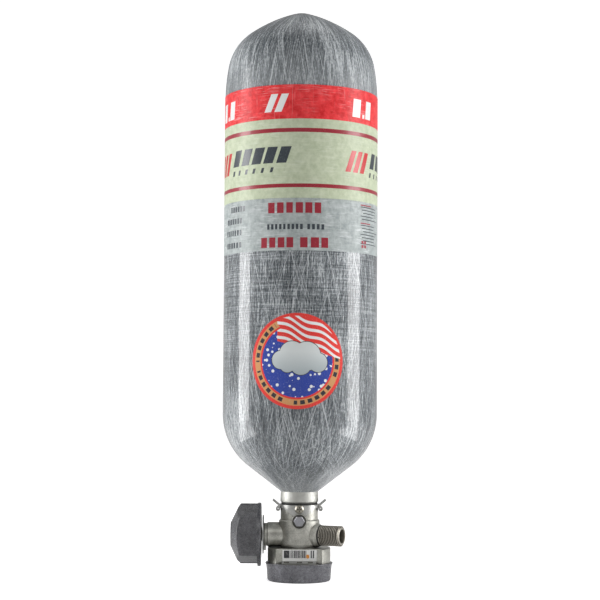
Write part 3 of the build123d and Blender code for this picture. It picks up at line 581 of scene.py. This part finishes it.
def sticker_print():
    """White film with plain bars, a dark block and a small orange spot."""
    p = Paint("sticker_print")
    spot = p.where()
    x, _, z = p.split(spot)
    run = p.math("MULTIPLY", x, 1300)
    bars = p.noise(p.join(run, 0.0, 0.0), 1.0, 2, 0.9)
    printed = p.math("LESS_THAN", bars, 0.52)
    middle = p.between(x, *STICKER_BARS)
    stripes = p.math("LESS_THAN", p.math("SINE", p.math("MULTIPLY", x, 2900)), 0.3)
    right = p.between(x, *STICKER_STRIPES)
    left_block = p.between(x, *STICKER_BLOCK)
    mark = p.math("MAXIMUM", p.math("MULTIPLY", printed, middle), p.math("MULTIPLY", stripes, right))
    mark = p.math("MULTIPLY", p.math("MAXIMUM", mark, left_block), p.between(z, *STICKER_ROW))
    colour = p.mix(mark, (0.84, 0.84, 0.82), (0.03, 0.03, 0.035))
    dx = p.math("MULTIPLY", p.math("SUBTRACT", x, STICKER_SPOT[0]), 600.0)
    dz = p.math("MULTIPLY", p.math("SUBTRACT", z, STICKER_SPOT[1]), 480.0)
    oval = p.math("LESS_THAN", p.length(dx, dz), 1.0)
    colour = p.mix(oval, colour, (0.80, 0.30, 0.02))
    grime = p.noise(spot, 500, 4)
    p.set(
        Base_Color=p.mix(p.spread(grime, 0.55, 0.75, 0.0, 0.3), colour, (0.42, 0.40, 0.36)),
        Roughness=0.32,
        Normal=p.bump(grime, 0.05, 0.0001),
    )
    return p.material


def knobbly_rubber(name, dark, light, roughness):
    """Rubber with a fine mould texture and pale dust in it."""
    p = Paint(name)
    spot = p.where()
    fine = p.noise(spot, 1500, 3, 0.7)
    dust = p.noise(spot, 420, 5, 0.75)
    clouds = p.noise(spot, 70, 3)
    tone = p.math("ADD", p.math("MULTIPLY", dust, 0.6), p.math("MULTIPLY", clouds, 0.4))
    colour = p.ramp(tone, (0.38, dark), (0.56, light), (0.70, tuple(min(1.0, c * 1.9) for c in light)))
    p.set(
        Base_Color=colour,
        Roughness=p.spread(fine, 0.3, 0.7, roughness + 0.08, roughness - 0.08),
        Specular_IOR_Level=0.9,
        Normal=p.bump(p.math("ADD", fine, dust), 0.28, 0.00016),
    )
    return p.material


# Its grime setting is painted shade from the AO node, darkening the valve's crevices, with some grime
valve_cast = dull_metal(
    "valve_cast", (0.26, 0.255, 0.225), (0.65, 0.645, 0.59), 0.38, 800, 0.75, 0.75, 0.0004, grime=0.9
)
looks = {
    "wrap_resin": fibre_wrap(),
    "carbon_fibre": carbon_layer(),
    "bare_aluminium": bare_aluminium(),
    "dark_resin": moulded("dark_resin", (0.03, 0.03, 0.032), (0.10, 0.10, 0.10), 0.45, 900, 0.3),
    "red_label": label_film("red_film", (0.62, 0.018, 0.022), (0.88, 0.060, 0.066), (0.84, 0.40, 0.40), 0.8),
    "cream_label": label_film("cream_film", (0.45, 0.51, 0.35), (0.58, 0.63, 0.47), (0.74, 0.77, 0.70), 0.4),
    "grey_label": label_film("grey_film", (0.29, 0.325, 0.325), (0.46, 0.50, 0.495), (0.78, 0.80, 0.81), 0.7),
    "decal": decal_print(),
    "valve_metal": valve_cast,
    "steel": dull_metal("sheet_steel", (0.30, 0.30, 0.285), (0.55, 0.55, 0.53), 0.34, 1600),
    # Its grime setting is painted shade from the AO node in the crevices, with some grime
    "nickel": dull_metal("bright_nickel", (0.28, 0.26, 0.22), (0.46, 0.44, 0.37), 0.30, 1500, grime=0.8),
    "brass": dull_metal("brass", (0.50, 0.36, 0.14), (0.74, 0.58, 0.28), 0.30, 1500),
    "seal_rubber": moulded("seal_rubber", (0.012, 0.012, 0.012), (0.035, 0.035, 0.035), 0.5, 1200, 0.2),
    "grip_rubber": knobbly_rubber("grip_rubber", (0.022, 0.022, 0.026), (0.090, 0.090, 0.099), 0.27),
    "bumper_rubber": knobbly_rubber("bumper_rubber", (0.050, 0.050, 0.060), (0.145, 0.145, 0.163), 0.26),
    "white_plastic": moulded("white_plastic", (0.74, 0.74, 0.72), (0.86, 0.86, 0.84), 0.35, 700, 0.1),
    "dial_face": moulded("dial_face", (0.78, 0.78, 0.75), (0.86, 0.86, 0.83), 0.5, 800, 0.05),
    "pointer_black": moulded("pointer_black", (0.012, 0.012, 0.012), (0.03, 0.03, 0.03), 0.45, 900, 0.05),
    "clear_lens": clear_lens(),
    "sticker_film": sticker_print(),
    "sintered_bronze": dull_metal("sintered_bronze", (0.25, 0.17, 0.09), (0.50, 0.36, 0.20), 0.6, 2600, 0.4),
}

for entry in record["subparts"]:
    node = nodes[entry["node"]]
    node.data.materials.clear()
    node.data.materials.append(looks[entry["material_slot"]])

# The relief plug is greyer than the other plated pieces
burst_metal = dull_metal(
    "burst_plug_metal", (0.29, 0.29, 0.31), (0.42, 0.42, 0.45), 0.36, 900, 0.0, 0.8, 0.0003
)
nodes["burst_disc_plug"].data.materials[0] = burst_metal


def threaded_metal():
    """Machined outlet metal, with painted shade darkening the thread's roots and the bore."""
    p = Paint("threaded_metal")
    spot = p.where()
    turn = radians(OUTLET_TURN)
    x, y, z = p.split(spot)
    across = p.math("ADD", p.math("MULTIPLY", x, sin(turn)), p.math("MULTIPLY", y, cos(turn)))
    up = p.math("SUBTRACT", z, AXIS_Z * MM)
    radius = p.length(across, up)
    grain = p.noise(spot, 1400, 4, 0.65)
    colour = p.ramp(grain, (0.32, (0.31, 0.29, 0.25)), (0.68, (0.52, 0.49, 0.43)))
    # Painted shade: the thread's roots and the bore are darkened, where shade falls in them
    thread_root_shade = p.spread(radius, 0.0098, 0.01043, 0.95, 0.0)
    thread_root_shade = p.math("MULTIPLY", thread_root_shade, p.math("GREATER_THAN", radius, 0.0094))
    bore_shade = p.spread(radius, 0.0068, 0.0074, 0.75, 0.0)
    colour = p.mix(p.math("MAXIMUM", thread_root_shade, bore_shade), colour, (0.045, 0.038, 0.028))
    p.set(
        Base_Color=colour,
        Metallic=0.8,
        Roughness=p.spread(grain, 0.3, 0.7, 0.28, 0.44),
        Normal=p.bump(grain, 0.2, 0.0001),
    )
    return p.material


machined = threaded_metal()


def finish_piece(obj, body, slot, replaced=(), material=None):
    """Gives a piece its material, the one given or the slot's look, carries it with a body and hides the CAD
    nodes it replaces.
    """
    obj.data.materials.clear()
    obj.data.materials.append(material or looks[slot])
    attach(obj, body)
    if replaced:
        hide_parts(*replaced)
    return obj


# ---------------- vessel


WALL_ROWS, SHOULDER_ROWS, CONE_ROWS = 60, 32, 20
DOME_STEP = 2.0
LEAST_STEP = 0.05


def vessel_outline(inset):
    """Points (height, radius) from the closed tip down to the neck, this far inside the surface."""
    arcs = []
    radius, start = DOME_ARCS[0][0], 0.0
    centre = Vector((WALL_R - radius, WALL_TOP_Z))
    for arc_r, stop in DOME_ARCS:
        centre = centre + Vector((cos(radians(start)), sin(radians(start)))) * (radius - arc_r)
        arcs.append((centre.copy(), arc_r - inset, start, stop))
        radius, start = arc_r, stop
    points = []
    for centre, arc_r, start, stop in reversed(arcs):
        count = max(6, int(arc_r * radians(stop - start) / DOME_STEP))
        for index in range(count + 1):
            angle = radians(stop + (start - stop) * index / count)
            points.append((centre.y + arc_r * sin(angle), centre.x + arc_r * cos(angle)))
    tip = (points[0][0], 0.0)
    wall_h = WALL_TOP_Z - SHOULDER_Z
    wall = [(SHOULDER_Z + wall_h * (1 - i / WALL_ROWS), WALL_R - inset) for i in range(1, WALL_ROWS)]
    points = [tip] + points + wall
    arc_r = SHOULDER_R - inset
    for index in range(SHOULDER_ROWS + 1):
        angle = radians(-CONE_TILT * index / SHOULDER_ROWS)
        points.append((SHOULDER_Z + arc_r * sin(angle), WALL_R - SHOULDER_R + arc_r * cos(angle)))
    foot = WRAP_FOOT_Z + inset / sin(radians(CONE_TILT))
    last = points[-1]
    for index in range(1, CONE_ROWS + 1):
        t = index / CONE_ROWS
        points.append((last[0] + (foot - last[0]) * t, last[1] + (NECK_R - last[1]) * t))
    kept = [points[0]]
    for point in points[1:]:
        if (Vector(point) - Vector(kept[-1])).length > LEAST_STEP:
            kept.append(point)
    return kept


def with_meridian(obj, outline):
    """Stores on each point how far along the vessel's outline it lies, in metres from the tip."""
    marks, total = [(outline[0][0], outline[0][1], 0.0)], 0.0
    for before, here in zip(outline, outline[1:]):
        total += (Vector(here) - Vector(before)).length
        marks.append((here[0], here[1], total * MM))
    lookup = {(round(h, 2), round(r, 2)): s for h, r, s in marks}
    values = []
    for vertex in obj.data.vertices:
        x, y, z = vertex.co / MM
        key = (round(z, 2), round(sqrt(x * x + y * y), 2))
        if key not in lookup:
            near = min(marks, key=lambda m: abs(m[0] - z) + abs(m[1] - key[1]))
            lookup[key] = near[2]
        values.append(lookup[key])
    attribute = obj.data.attributes.new("meridian", "FLOAT", "POINT")
    attribute.data.foreach_set("value", values)


outer = vessel_outline(0.0)
inner = vessel_outline(SHELL_T)
shell = turned("wrap_shell", "vessel", outer + inner[::-1], WALL_STEPS)
with_meridian(shell, outer)
finish_piece(shell, "cylinder", "wrap_resin", ["glass_overwrap"])

TIP_R = 6.2
low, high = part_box("pole_cap")
tip_low, tip_high = low.z / MM, high.z / MM
tip_line = [(tip_low - 0.6, 0.0), (tip_low - 0.6, TIP_R - 0.1), (tip_low + 0.2, TIP_R)]
tip_line += [
    (tip_low + 0.2 + (tip_high - tip_low - 0.2) * sin(angle), TIP_R * cos(angle))
    for angle in (0.4, 0.7, 0.95, 1.2, 1.4)
]
tip_line.append((tip_high, 0.0))
tip = turned("tip_button", "vessel", tip_line, 64, sharp=60)
finish_piece(tip, "cylinder", "dark_resin", ["pole_cap"])

for piece_name, node_name, slot in (
    ("label_red", "red_band", "red_label"),
    ("label_cream", "cream_band", "cream_label"),
    ("label_grey", "data_label", "grey_label"),
):
    low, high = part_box(node_name)
    z0, z1 = low.z / MM, high.z / MM
    heights = [z0 + (z1 - z0) * i / 8 for i in range(9)]
    outline = [(z, LABEL_R) for z in heights] + [(z, LABEL_R - LABEL_T) for z in reversed(heights)]
    finish_piece(turned(piece_name, "vessel", outline, WALL_STEPS), "cylinder", slot, [node_name])


# ---------------- print on the labels


def on_wall(arc, z, radius):
    """A point on the wall, so many millimetres round from the front and up."""
    angle = arc / WALL_R
    return (radius * sin(angle), -radius * cos(angle), z)


def printed(name, shapes, slot, material):
    """Thin closed solids for flat shapes on the wall. Each shape is four (arc, height) corners in order."""
    verts, faces = [], []
    for corners in shapes:
        foot_left, foot_right, head_right, head_left = (Vector(c) for c in corners)
        wide = max(1, round((foot_right - foot_left).length / 2))
        tall = max(1, round(abs(head_left.x - foot_left.x) / 1.5))
        first = len(verts)
        for radius in (LABEL_R + PRINT_T, LABEL_R - PRINT_T):
            for row in range(tall + 1):
                left = foot_left.lerp(head_left, row / tall)
                right = foot_right.lerp(head_right, row / tall)
                verts += [on_wall(*left.lerp(right, column / wide), radius) for column in range(wide + 1)]
        under = (tall + 1) * (wide + 1)
        for row in range(tall):
            for column in range(wide):
                a = first + row * (wide + 1) + column
                top = (a, a + 1, a + wide + 2, a + wide + 1)
                faces += [top, tuple(i + under for i in reversed(top))]
        loop = [(0, column) for column in range(wide)] + [(row, wide) for row in range(tall)]
        loop += [(tall, column) for column in range(wide, 0, -1)] + [(row, 0) for row in range(tall, 0, -1)]
        ring = [first + row * (wide + 1) + column for row, column in loop]
        for here, after in zip(ring, ring[1:] + ring[:1]):
            faces.append((here, here + under, after + under, after))
    finish_piece(mesh_object(name, verts, faces), "cylinder", slot, material=material)


def block(arc, z, width, height, lean=0.0):
    """A block standing on z, leaning to the right by a share of its height."""
    shift = lean * height
    return ((arc, z), (arc + width, z), (arc + width + shift, z + height), (arc + shift, z + height))


def greeked(arc, z, width, height, count, lean=0.0, gap=0.28):
    """A row of plain blocks of slightly different widths, in place of a word."""
    pitch = width / count
    return [
        block(arc + pitch * index, z, pitch * (1 - gap) * random.uniform(0.84, 1.0), height, lean)
        for index in range(count)
    ]


white_ink = ink("white_ink", (0.80, 0.81, 0.80), (0.66, 0.25, 0.25))
red_ink = ink("red_ink", (0.56, 0.020, 0.024), (0.55, 0.30, 0.28))
maroon_ink = ink("maroon_ink", (0.31, 0.012, 0.028), (0.46, 0.18, 0.17))
dark_ink = ink("dark_ink", (0.030, 0.040, 0.052), (0.22, 0.25, 0.24))

# Places on the wall are millimetres round from the front, and up
REPEAT = 2 * pi * WALL_R / 3  # the labels repeat three times round the wall
MARK_Z, RATING_Z, RATING_H = 473.3, 471.7, 18.6  # on the red band
LOGO_Z, WORD_Z, SMALL_WORD_Z = 415.0, 421.8, 412.6  # on the cream band
TITLE_Z, TITLE_GAP, FOOT_WORD_Z = 371.4, 0.22, 336.8  # on the grey label
LINE_Z, LINE_GAP = 355.0, 0.36
white_marks, cream_marks, dark_words, red_words, small_lines = [], [], [], [], []
for turn_index in (-1, 0, 1):
    shift = REPEAT * turn_index
    # Red band: a pair of slanted bars, and three plain blocks in place of a rating
    white_marks += [block(shift + start, MARK_Z, 7.4, 18.2, 0.42) for start in (-38.5, -27.5)]
    white_marks += greeked(shift + 56.0, RATING_Z, 12.8, RATING_H, 1, 0.10, 0.12)
    white_marks.append(block(shift + 70.6, RATING_Z, 3.4, 4.0, 0.1))
    white_marks += greeked(shift + 75.8, RATING_Z, 12.8, RATING_H, 1, 0.10, 0.12)
    # Cream band: a red mark of slanted bars, dark blocks and a row of small ones
    cream_marks += [block(shift + start, LOGO_Z, 6.6, 22.0, 0.38) for start in (47.0, 56.8, 66.6)]
    dark_words += greeked(shift - 83.0, WORD_Z, 72.0, 16.4, 5, 0.34, 0.20)
    dark_words += greeked(shift - 84.0, SMALL_WORD_Z, 62.0, 5.0, 6, 0.30, 0.66)
for piece_name, shapes, slot, material in (
    ("print_red_band", white_marks, "red_label", white_ink),
    ("print_cream_red", cream_marks, "cream_label", red_ink),
    ("print_cream_dark", dark_words, "cream_label", dark_ink),
):
    printed(piece_name, shapes, slot, material)

for piece_name, z0, z1 in (("stripe_upper", 452.6, 456.7), ("stripe_lower", 397.0, 400.8)):
    inside, outside = LABEL_R - PRINT_T, LABEL_R + PRINT_T
    outline = [(z0, inside), (z0, outside), (z1, outside), (z1, inside)]
    stripe = turned(piece_name, "vessel", outline, WALL_STEPS)
    finish_piece(stripe, "cylinder", "cream_label", material=maroon_ink)

# Grey label: large words at the front, short lines on the left
red_words += greeked(-33.6, TITLE_Z, 57.0, 10.6, 6, 0.0, TITLE_GAP)
red_words += greeked(-41.2, FOOT_WORD_Z, 36.0, 10.2, 4, 0.0, TITLE_GAP)
red_words += greeked(-0.6, FOOT_WORD_Z, 32.0, 10.2, 3, 0.0, TITLE_GAP)
printed("print_grey_red", red_words, "grey_label", maroon_ink)
small_lines += greeked(-34.5, LINE_Z, 38.0, 5.4, 9, 0.0, LINE_GAP)
small_lines += greeked(6.5, LINE_Z, 19.0, 5.4, 4, 0.0, LINE_GAP)
for right_end, z, width, count in (
    (-61.0, 375.4, 26.0, 6),
    (-66.0, 363.4, 30.0, 7),
    (-66.0, 351.6, 32.0, 7),
    (-66.0, 339.0, 31.0, 6),
):
    small_lines += greeked(right_end - width, z, width, 5.6, count, 0.0, 0.30)
# Thin rules on the right, with a gap after the fifth for a red one
RULES_ARC, RULES_TOP, RULES_PITCH = 68.5, 380.6, 3.1
for row in range(13):
    if row != 5:
        start, width = RULES_ARC + 2 * (row % 3), 34.0 - 3.0 * (row % 4)
        small_lines.append(block(start, RULES_TOP - row * RULES_PITCH, width, 0.9))
printed("print_grey_dark", small_lines, "grey_label", dark_ink)
seal = [block(70.0 + 4.6 * column, 339.4 + 4.2 * row, 3.4, 3.0) for column in (0, 1) for row in (0, 1)]
seal += [block(RULES_ARC, 382.4, 20.0, 1.1), block(RULES_ARC, 364.0, 18.0, 1.1)]
printed("print_grey_seal", seal, "grey_label", maroon_ink)

# The round emblem is one closed disc that follows the wall
disc_verts, disc_faces = [], []
RINGS, SPOKES = 24, 128
centre_arc = radians(DECAL_TURN) * WALL_R
for layer in (LABEL_R, LABEL_R - LABEL_T):
    disc_verts.append(on_wall(centre_arc, DECAL_Z, layer))
    for ring_index in range(1, RINGS + 1):
        share = ring_index / RINGS
        for spoke in range(SPOKES):
            angle = 2 * pi * spoke / SPOKES
            arc, rise = DECAL_HALF_W * share * cos(angle), DECAL_HALF_H * share * sin(angle)
            disc_verts.append(on_wall(centre_arc + arc, DECAL_Z + rise, layer))
layer_size = 1 + RINGS * SPOKES
for layer_start in (0, layer_size):
    for spoke in range(SPOKES):
        after = (spoke + 1) % SPOKES
        disc_faces.append((layer_start, layer_start + 1 + spoke, layer_start + 1 + after))
        for ring_index in range(RINGS - 1):
            a = layer_start + 1 + ring_index * SPOKES
            disc_faces.append((a + spoke, a + SPOKES + spoke, a + SPOKES + after, a + after))
rim = 1 + (RINGS - 1) * SPOKES
for spoke in range(SPOKES):
    after = (spoke + 1) % SPOKES
    disc_faces.append((rim + spoke, rim + after, layer_size + rim + after, layer_size + rim + spoke))
finish_piece(mesh_object("emblem_disc", disc_verts, disc_faces), "cylinder", "decal", ["round_decal"])


# ---------------- outlet with its thread

THREAD_R = 10.48
THREAD_DEPTH = 0.85
PITCH = 1.814  # 14 turns to the inch
THREAD_START, THREAD_END = 26.4, 46.6  # distances out from the vessel's axis
CREST_START, CREST_END, CREST_STEPS = 25.8, 47.3, 190
BACK, END = 10.05, 48.4
SOCKET_R, COLLAR_R = 8.0, 9.1
PASSAGE_R, BORE_R, BORE_FLOOR = 3.0, 6.85, 30.0
SLOT_ANGLE, SLOT_HALF, SLOT_END, SLOT_DEPTH = radians(188), 0.055, 31.0, 0.9


def thread_radius(distance, angle):
    """Radius of the screw thread's surface at a distance out and an angle."""
    phase = ((distance - THREAD_START) / PITCH - angle / (2 * pi)) % 1.0
    ridge = 1 - abs(2 * phase - 1)
    ridge = min(1.0, max(0.0, ridge * 1.5 - 0.25))
    run_in = max(0.0, (distance - THREAD_START + 0.4) / 0.8)
    run_out = max(0.0, (THREAD_END + 0.6 - distance) / 0.8)
    return THREAD_R - THREAD_DEPTH * (1 - ridge) * min(1.0, run_in, run_out)


crest_rows = [CREST_START + (CREST_END - CREST_START) * i / CREST_STEPS for i in range(CREST_STEPS + 1)]
inner_rows = [
    (BACK, PASSAGE_R),
    (BACK, SOCKET_R),
    (24.05, SOCKET_R),
    (24.05, COLLAR_R),
    (CREST_START, COLLAR_R),
]
nose_rows = [
    (END - 0.7, THREAD_R - 0.85),
    (END - 0.25, THREAD_R - 1.35),
    (END, THREAD_R - 1.9),
    (END, BORE_R + 0.5),
    (END - 0.15, BORE_R + 0.2),
    (END - 0.5, BORE_R),
    (BORE_FLOOR, BORE_R),
    (BORE_FLOOR, PASSAGE_R),
]
fitting_outline = inner_rows + [(u, THREAD_R) for u in crest_rows] + nose_rows


def cut_thread(index, distance, radius, angle):
    """Gives the crest rows their thread, with a slot across the first turns that lets trapped gas out."""
    if len(inner_rows) <= index < len(inner_rows) + len(crest_rows):
        radius = thread_radius(distance, angle)
        off_slot = abs((angle - SLOT_ANGLE + pi) % (2 * pi) - pi)
        if off_slot < SLOT_HALF and distance < SLOT_END:
            radius -= SLOT_DEPTH
    return distance, radius


outlet = turned("outlet_thread", "outlet", fitting_outline, 192, cut_thread, 50)
finish_piece(outlet, "cylinder", "valve_metal", ["outlet_fitting"], machined)


# ---------------- handwheel grip

WHEEL_R = 32.5
WHEEL_NOSE = 69.8  # distance out from the vessel's axis, like those below
NOSE_R = 14.0
CAP_BORE_R, CAP_FLOOR = 13.05, 60.0
NUT_HOLE_R, NUT_FLOOR = 8.5, 66.0
BOSS_BORE_R, DISC_BORE_R, SKIRT_BORE_R = 12.05, 23.55, 22.2
FLATS = 5
FLAT_APOTHEM = 26.0
FLAT_HALF = radians(33.0)
FLAT_START = 43.0
NO_FLAT_R = 36.0  # outside the wheel, so it cuts nothing there
SMOOTH = 0.42
ROW_STEP = 0.32


def smooth_least(first, second):
    """The smaller of two lengths, with a rounded join."""
    least = min(first, second)
    return least - SMOOTH * log(exp(-(first - least) / SMOOTH) + exp(-(second - least) / SMOOTH))


rim_profile = rounded(
    [
        (39.2, SKIRT_BORE_R),
        (39.2, WHEEL_R),
        (60.9, WHEEL_R),
        (WHEEL_NOSE, NOSE_R),
        (WHEEL_NOSE, CAP_BORE_R),
        (CAP_FLOOR, CAP_BORE_R),
    ],
    1.3,
    5,
)
outside_rows = []
for before, here in zip(rim_profile[3:], rim_profile[4:]):
    length = (Vector(here) - Vector(before)).length
    count = max(1, int(length / ROW_STEP))
    for index in range(count):
        t = index / count
        outside_rows.append((before[0] + (here[0] - before[0]) * t, before[1] + (here[1] - before[1]) * t))
outside_rows = [row for row in outside_rows if row[1] > CAP_BORE_R - 0.05]
inside_rows = [
    (NUT_FLOOR, CAP_BORE_R),
    (NUT_FLOOR, NUT_HOLE_R),
    (60.05, NUT_HOLE_R),
    (60.05, BOSS_BORE_R),
    (52.05, BOSS_BORE_R),
    (52.05, DISC_BORE_R),
    (46.45, DISC_BORE_R),
    (46.45, SKIRT_BORE_R),
    (40.0, SKIRT_BORE_R),
]


def cut_flats(index, distance, radius, angle):
    """Cuts the flats into the outside rows past the back rim, with rounded joins."""
    if index >= len(outside_rows) or distance < FLAT_START - 1.0:
        return distance, radius
    step = 2 * pi / FLATS
    off = abs((angle + step / 2) % step - step / 2)
    wide = FLAT_APOTHEM / cos(min(off, FLAT_HALF)) + max(0.0, off - FLAT_HALF) * 60
    rise = min(1.0, max(0.0, (distance - FLAT_START + 0.55) / 1.1))
    rise = rise * rise * (3 - 2 * rise)
    flat_r = NO_FLAT_R + (wide - NO_FLAT_R) * rise
    return distance, min(radius, smooth_least(radius + 0.05, flat_r))


grip = turned("grip_shell", "wheel", outside_rows + inside_rows, 360, cut_flats, 50)
finish_piece(grip, "handwheel", "grip_rubber", ["handwheel_grip"])


# ---------------- bumper

WINDOW_R, LEDGE_Z = 24.5, 4.15
BUMPER_BORE_R, BUMPER_TOP = 29.6, 18.6
bumper_line = rounded(
    [
        (0.0, WINDOW_R),
        (0.0, 31.6),
        (1.4, 32.6),
        (16.5, 33.9),
        (17.6, 34.8),
        (BUMPER_TOP, 34.8),
        (BUMPER_TOP, BUMPER_BORE_R),
        (LEDGE_Z, BUMPER_BORE_R),
        (LEDGE_Z, WINDOW_R),
    ],
    0.7,
    4,
)
bumper = turned("bumper_ring", "vessel", bumper_line, 192, sharp=60)
finish_piece(bumper, "cylinder", "bumper_rubber", ["bumper"])


# ---------------- gauge dial marks

dial_low, dial_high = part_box("gauge_dial")
DIAL_FACE = dial_low.z / MM - 0.06
DIAL_R = dial_high.x / MM
DIAL_ZERO, DIAL_SWEEP = 135.0, 270.0  # degrees
TICKS, NUMBERS = 31, 7
TICK_STEP, NUMBER_STEP = DIAL_SWEEP / (TICKS - 1), DIAL_SWEEP / (NUMBERS - 1)
MARK_T = 0.08


def dial_mark(bearing, start, end, width):
    """A flat bar on the dial's face, bearing in degrees from the pointer's zero."""
    angle = radians(DIAL_ZERO + bearing)
    out = Vector((cos(angle), sin(angle), 0))
    side = Vector((-sin(angle), cos(angle), 0)) * width / 2
    corners = [out * start - side, out * start + side, out * end + side, out * end - side]
    return [(c.x, c.y, z) for z in (DIAL_FACE, DIAL_FACE + MARK_T) for c in corners]


BOX_FACES = [(0, 1, 2, 3), (4, 7, 6, 5), (0, 4, 5, 1), (1, 5, 6, 2), (2, 6, 7, 3), (3, 7, 4, 0)]
tick_verts, tick_faces = [], []
for index in range(TICKS):
    length, width = (5.2, 0.9) if index % 5 == 0 else (3.6, 0.45)
    first = len(tick_verts)
    tick_verts += dial_mark(index * TICK_STEP, DIAL_R - length, DIAL_R - 1.8, width)
    tick_faces += [tuple(first + i for i in face) for face in BOX_FACES]
ticks = mesh_object("dial_ticks", tick_verts, tick_faces, smooth=False)
finish_piece(ticks, "cylinder", "pointer_black", material=dark_ink)
for number in range(NUMBERS):
    curve = bpy.data.curves.new(f"dial_number_{number}", "FONT")
    curve.body = str(number)
    curve.size = 4.6 * MM
    curve.extrude = 0.03 * MM
    curve.align_x, curve.align_y = "CENTER", "CENTER"
    text = bpy.data.objects.new(f"dial_text_{number}", curve)
    mesh = bpy.data.meshes.new_from_object(text)
    angle = radians(DIAL_ZERO + NUMBER_STEP * number)
    reach = (DIAL_R - 8.4) * MM
    place = Matrix.Translation((reach * cos(angle), reach * sin(angle), DIAL_FACE * MM + 0.00003))
    mesh.transform(place @ Matrix.Rotation(pi, 4, "X"))
    bpy.data.objects.remove(text)
    digit = placed(f"dial_number_{number}", mesh)
    finish_piece(digit, "cylinder", "pointer_black", material=dark_ink)


# ---------------- handwheel spring

# A copy of the CAD's spring, carried with the spindle body; nothing here shortens it as the wheel is pushed
# in
low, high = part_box("handwheel_spring")
coil_mesh = nodes["handwheel_spring"].data.copy()
coil_mesh.transform(nodes["handwheel_spring"].matrix_world)
coil = placed("coil_spring", coil_mesh)
finish_piece(coil, "spindle", "steel", ["handwheel_spring"])
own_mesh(coil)

# ---------------- stage, light and camera


def stage_material():
    """Pale paper that is nearly white to the camera but lights the object only a little."""
    p = Paint("pale_stage")
    cloud = p.noise(p.where(), 1.5, 2)
    seen = p.add("LightPath").outputs["Is Camera Ray"]
    p.set(
        Base_Color=p.ramp(cloud, (0.3, (0.78, 0.78, 0.78)), (0.7, (0.82, 0.82, 0.82))),
        Roughness=0.9,
        Specular_IOR_Level=0.1,
        Emission_Color=(1, 1, 1, 1),
        Emission_Strength=p.spread(seen, 0.0, 1.0, 0.06, 0.72),
    )
    return p.material


# The floor runs back, bends up and rises behind the object, in metres
FLOOR_HALF_W = 20.0
FLOOR_FRONT, BEND_START, BEND_R = -20.0, 2.0, 2.0
FLAT_ROWS, BEND_ROWS, RISE_ROWS = 8, 16, 8
RISE_STEP = 0.6
bm = bmesh.new()
rows = []
for index in range(FLAT_ROWS + BEND_ROWS + RISE_ROWS + 1):
    if index <= FLAT_ROWS:
        y, z = (FLOOR_FRONT if index == 0 else BEND_START - FLAT_ROWS + index), 0.0
    else:
        bend = radians(90 * min(1.0, (index - FLAT_ROWS) / BEND_ROWS))
        y, z = BEND_START + BEND_R * sin(bend), BEND_R - BEND_R * cos(bend)
        z += max(0, index - FLAT_ROWS - BEND_ROWS) * RISE_STEP
    rows.append([bm.verts.new((FLOOR_HALF_W * share, y, z)) for share in (-1, -0.5, 0, 0.5, 1)])
for lower, upper in zip(rows, rows[1:]):
    for index in range(4):
        bm.faces.new((lower[index], lower[index + 1], upper[index + 1], upper[index]))
for face in bm.faces:
    face.smooth = True
floor_mesh = bpy.data.meshes.new("studio_floor")
bm.to_mesh(floor_mesh)
bm.free()
floor = placed("studio_floor", floor_mesh)
floor_mesh.materials.append(stage_material())

world = bpy.data.worlds.new("studio")
bpy.context.scene.world = world
world.use_nodes = True
tree = world.node_tree
direction = tree.nodes.new("ShaderNodeTexCoord").outputs["Generated"]
parts = tree.nodes.new("ShaderNodeSeparateXYZ")
tree.links.new(direction, parts.inputs[0])
half = tree.nodes.new("ShaderNodeMapRange")
tree.links.new(parts.outputs["Y"], half.inputs["Value"])
half.inputs["From Min"].default_value = -1.0
shade = tree.nodes.new("ShaderNodeValToRGB")
tree.links.new(half.outputs["Result"], shade.inputs["Fac"])
# Greys from the front of the room to its back
ROOM_GREYS = ((0.0, 0.24), (0.32, 0.50), (0.60, 0.40), (1.0, 0.40))
for index, (position, grey) in enumerate(ROOM_GREYS):
    element = shade.color_ramp.elements[index] if index < 2 else shade.color_ramp.elements.new(position)
    element.position = position
    element.color = (grey, grey, grey, 1)
background = tree.nodes["Background"]
background.inputs["Strength"].default_value = 1.0
tree.links.new(shade.outputs["Color"], background.inputs["Color"])


def softbox(name, place, target, width, height, power):
    """A rectangular light, in metres and watts, turned to face its target."""
    light = bpy.data.lights.new(name, "AREA")
    light.shape = "RECTANGLE"
    light.size, light.size_y = width, height
    light.energy = power
    lamp = placed(name, light)
    lamp.location = place
    lamp.rotation_euler = (Vector(target) - Vector(place)).to_track_quat("-Z", "Y").to_euler()
    lamp.visible_camera = False


softbox("left_strip", (-1.1, -0.02, 0.42), (0, 0, 0.36), 0.42, 1.0, 8.6)
softbox("right_strip", (1.1, -0.12, 0.42), (0, 0, 0.36), 0.46, 1.0, 8.4)
softbox("left_floor_glow", (-0.62, -0.02, 0.01), (-0.62, -0.02, 1.0), 0.66, 0.24, 1.6)
softbox("right_floor_glow", (0.62, -0.07, 0.01), (0.62, -0.07, 1.0), 0.66, 0.26, 1.6)
softbox("front_fill", (-0.5, -2.4, 1.9), (0, 0, 0.3), 1.8, 1.2, 10.0)
softbox("top_fill", (0.2, 0.2, 2.4), (0, 0, 0.3), 1.6, 1.6, 9.0)

CAMERA_PLACE = Vector((-0.0004, -1.6, 0.1883))
AIM = Vector((-0.0004, 0.0, 0.2895))
CAMERA_ROLL = radians(0.3)
camera_data = bpy.data.cameras.new("camera")
camera_data.lens = 92.2
camera_data.sensor_width = 36.0
camera_data.clip_start, camera_data.clip_end = 0.05, 60
camera = placed("camera", camera_data)
camera.location = CAMERA_PLACE
look = (AIM - CAMERA_PLACE).to_track_quat("-Z", "Y")
camera.rotation_euler = (look.to_matrix().to_4x4() @ Matrix.Rotation(CAMERA_ROLL, 4, "Z")).to_euler()
bpy.context.scene.camera = camera
bpy.context.scene.view_settings.view_transform = "Standard"
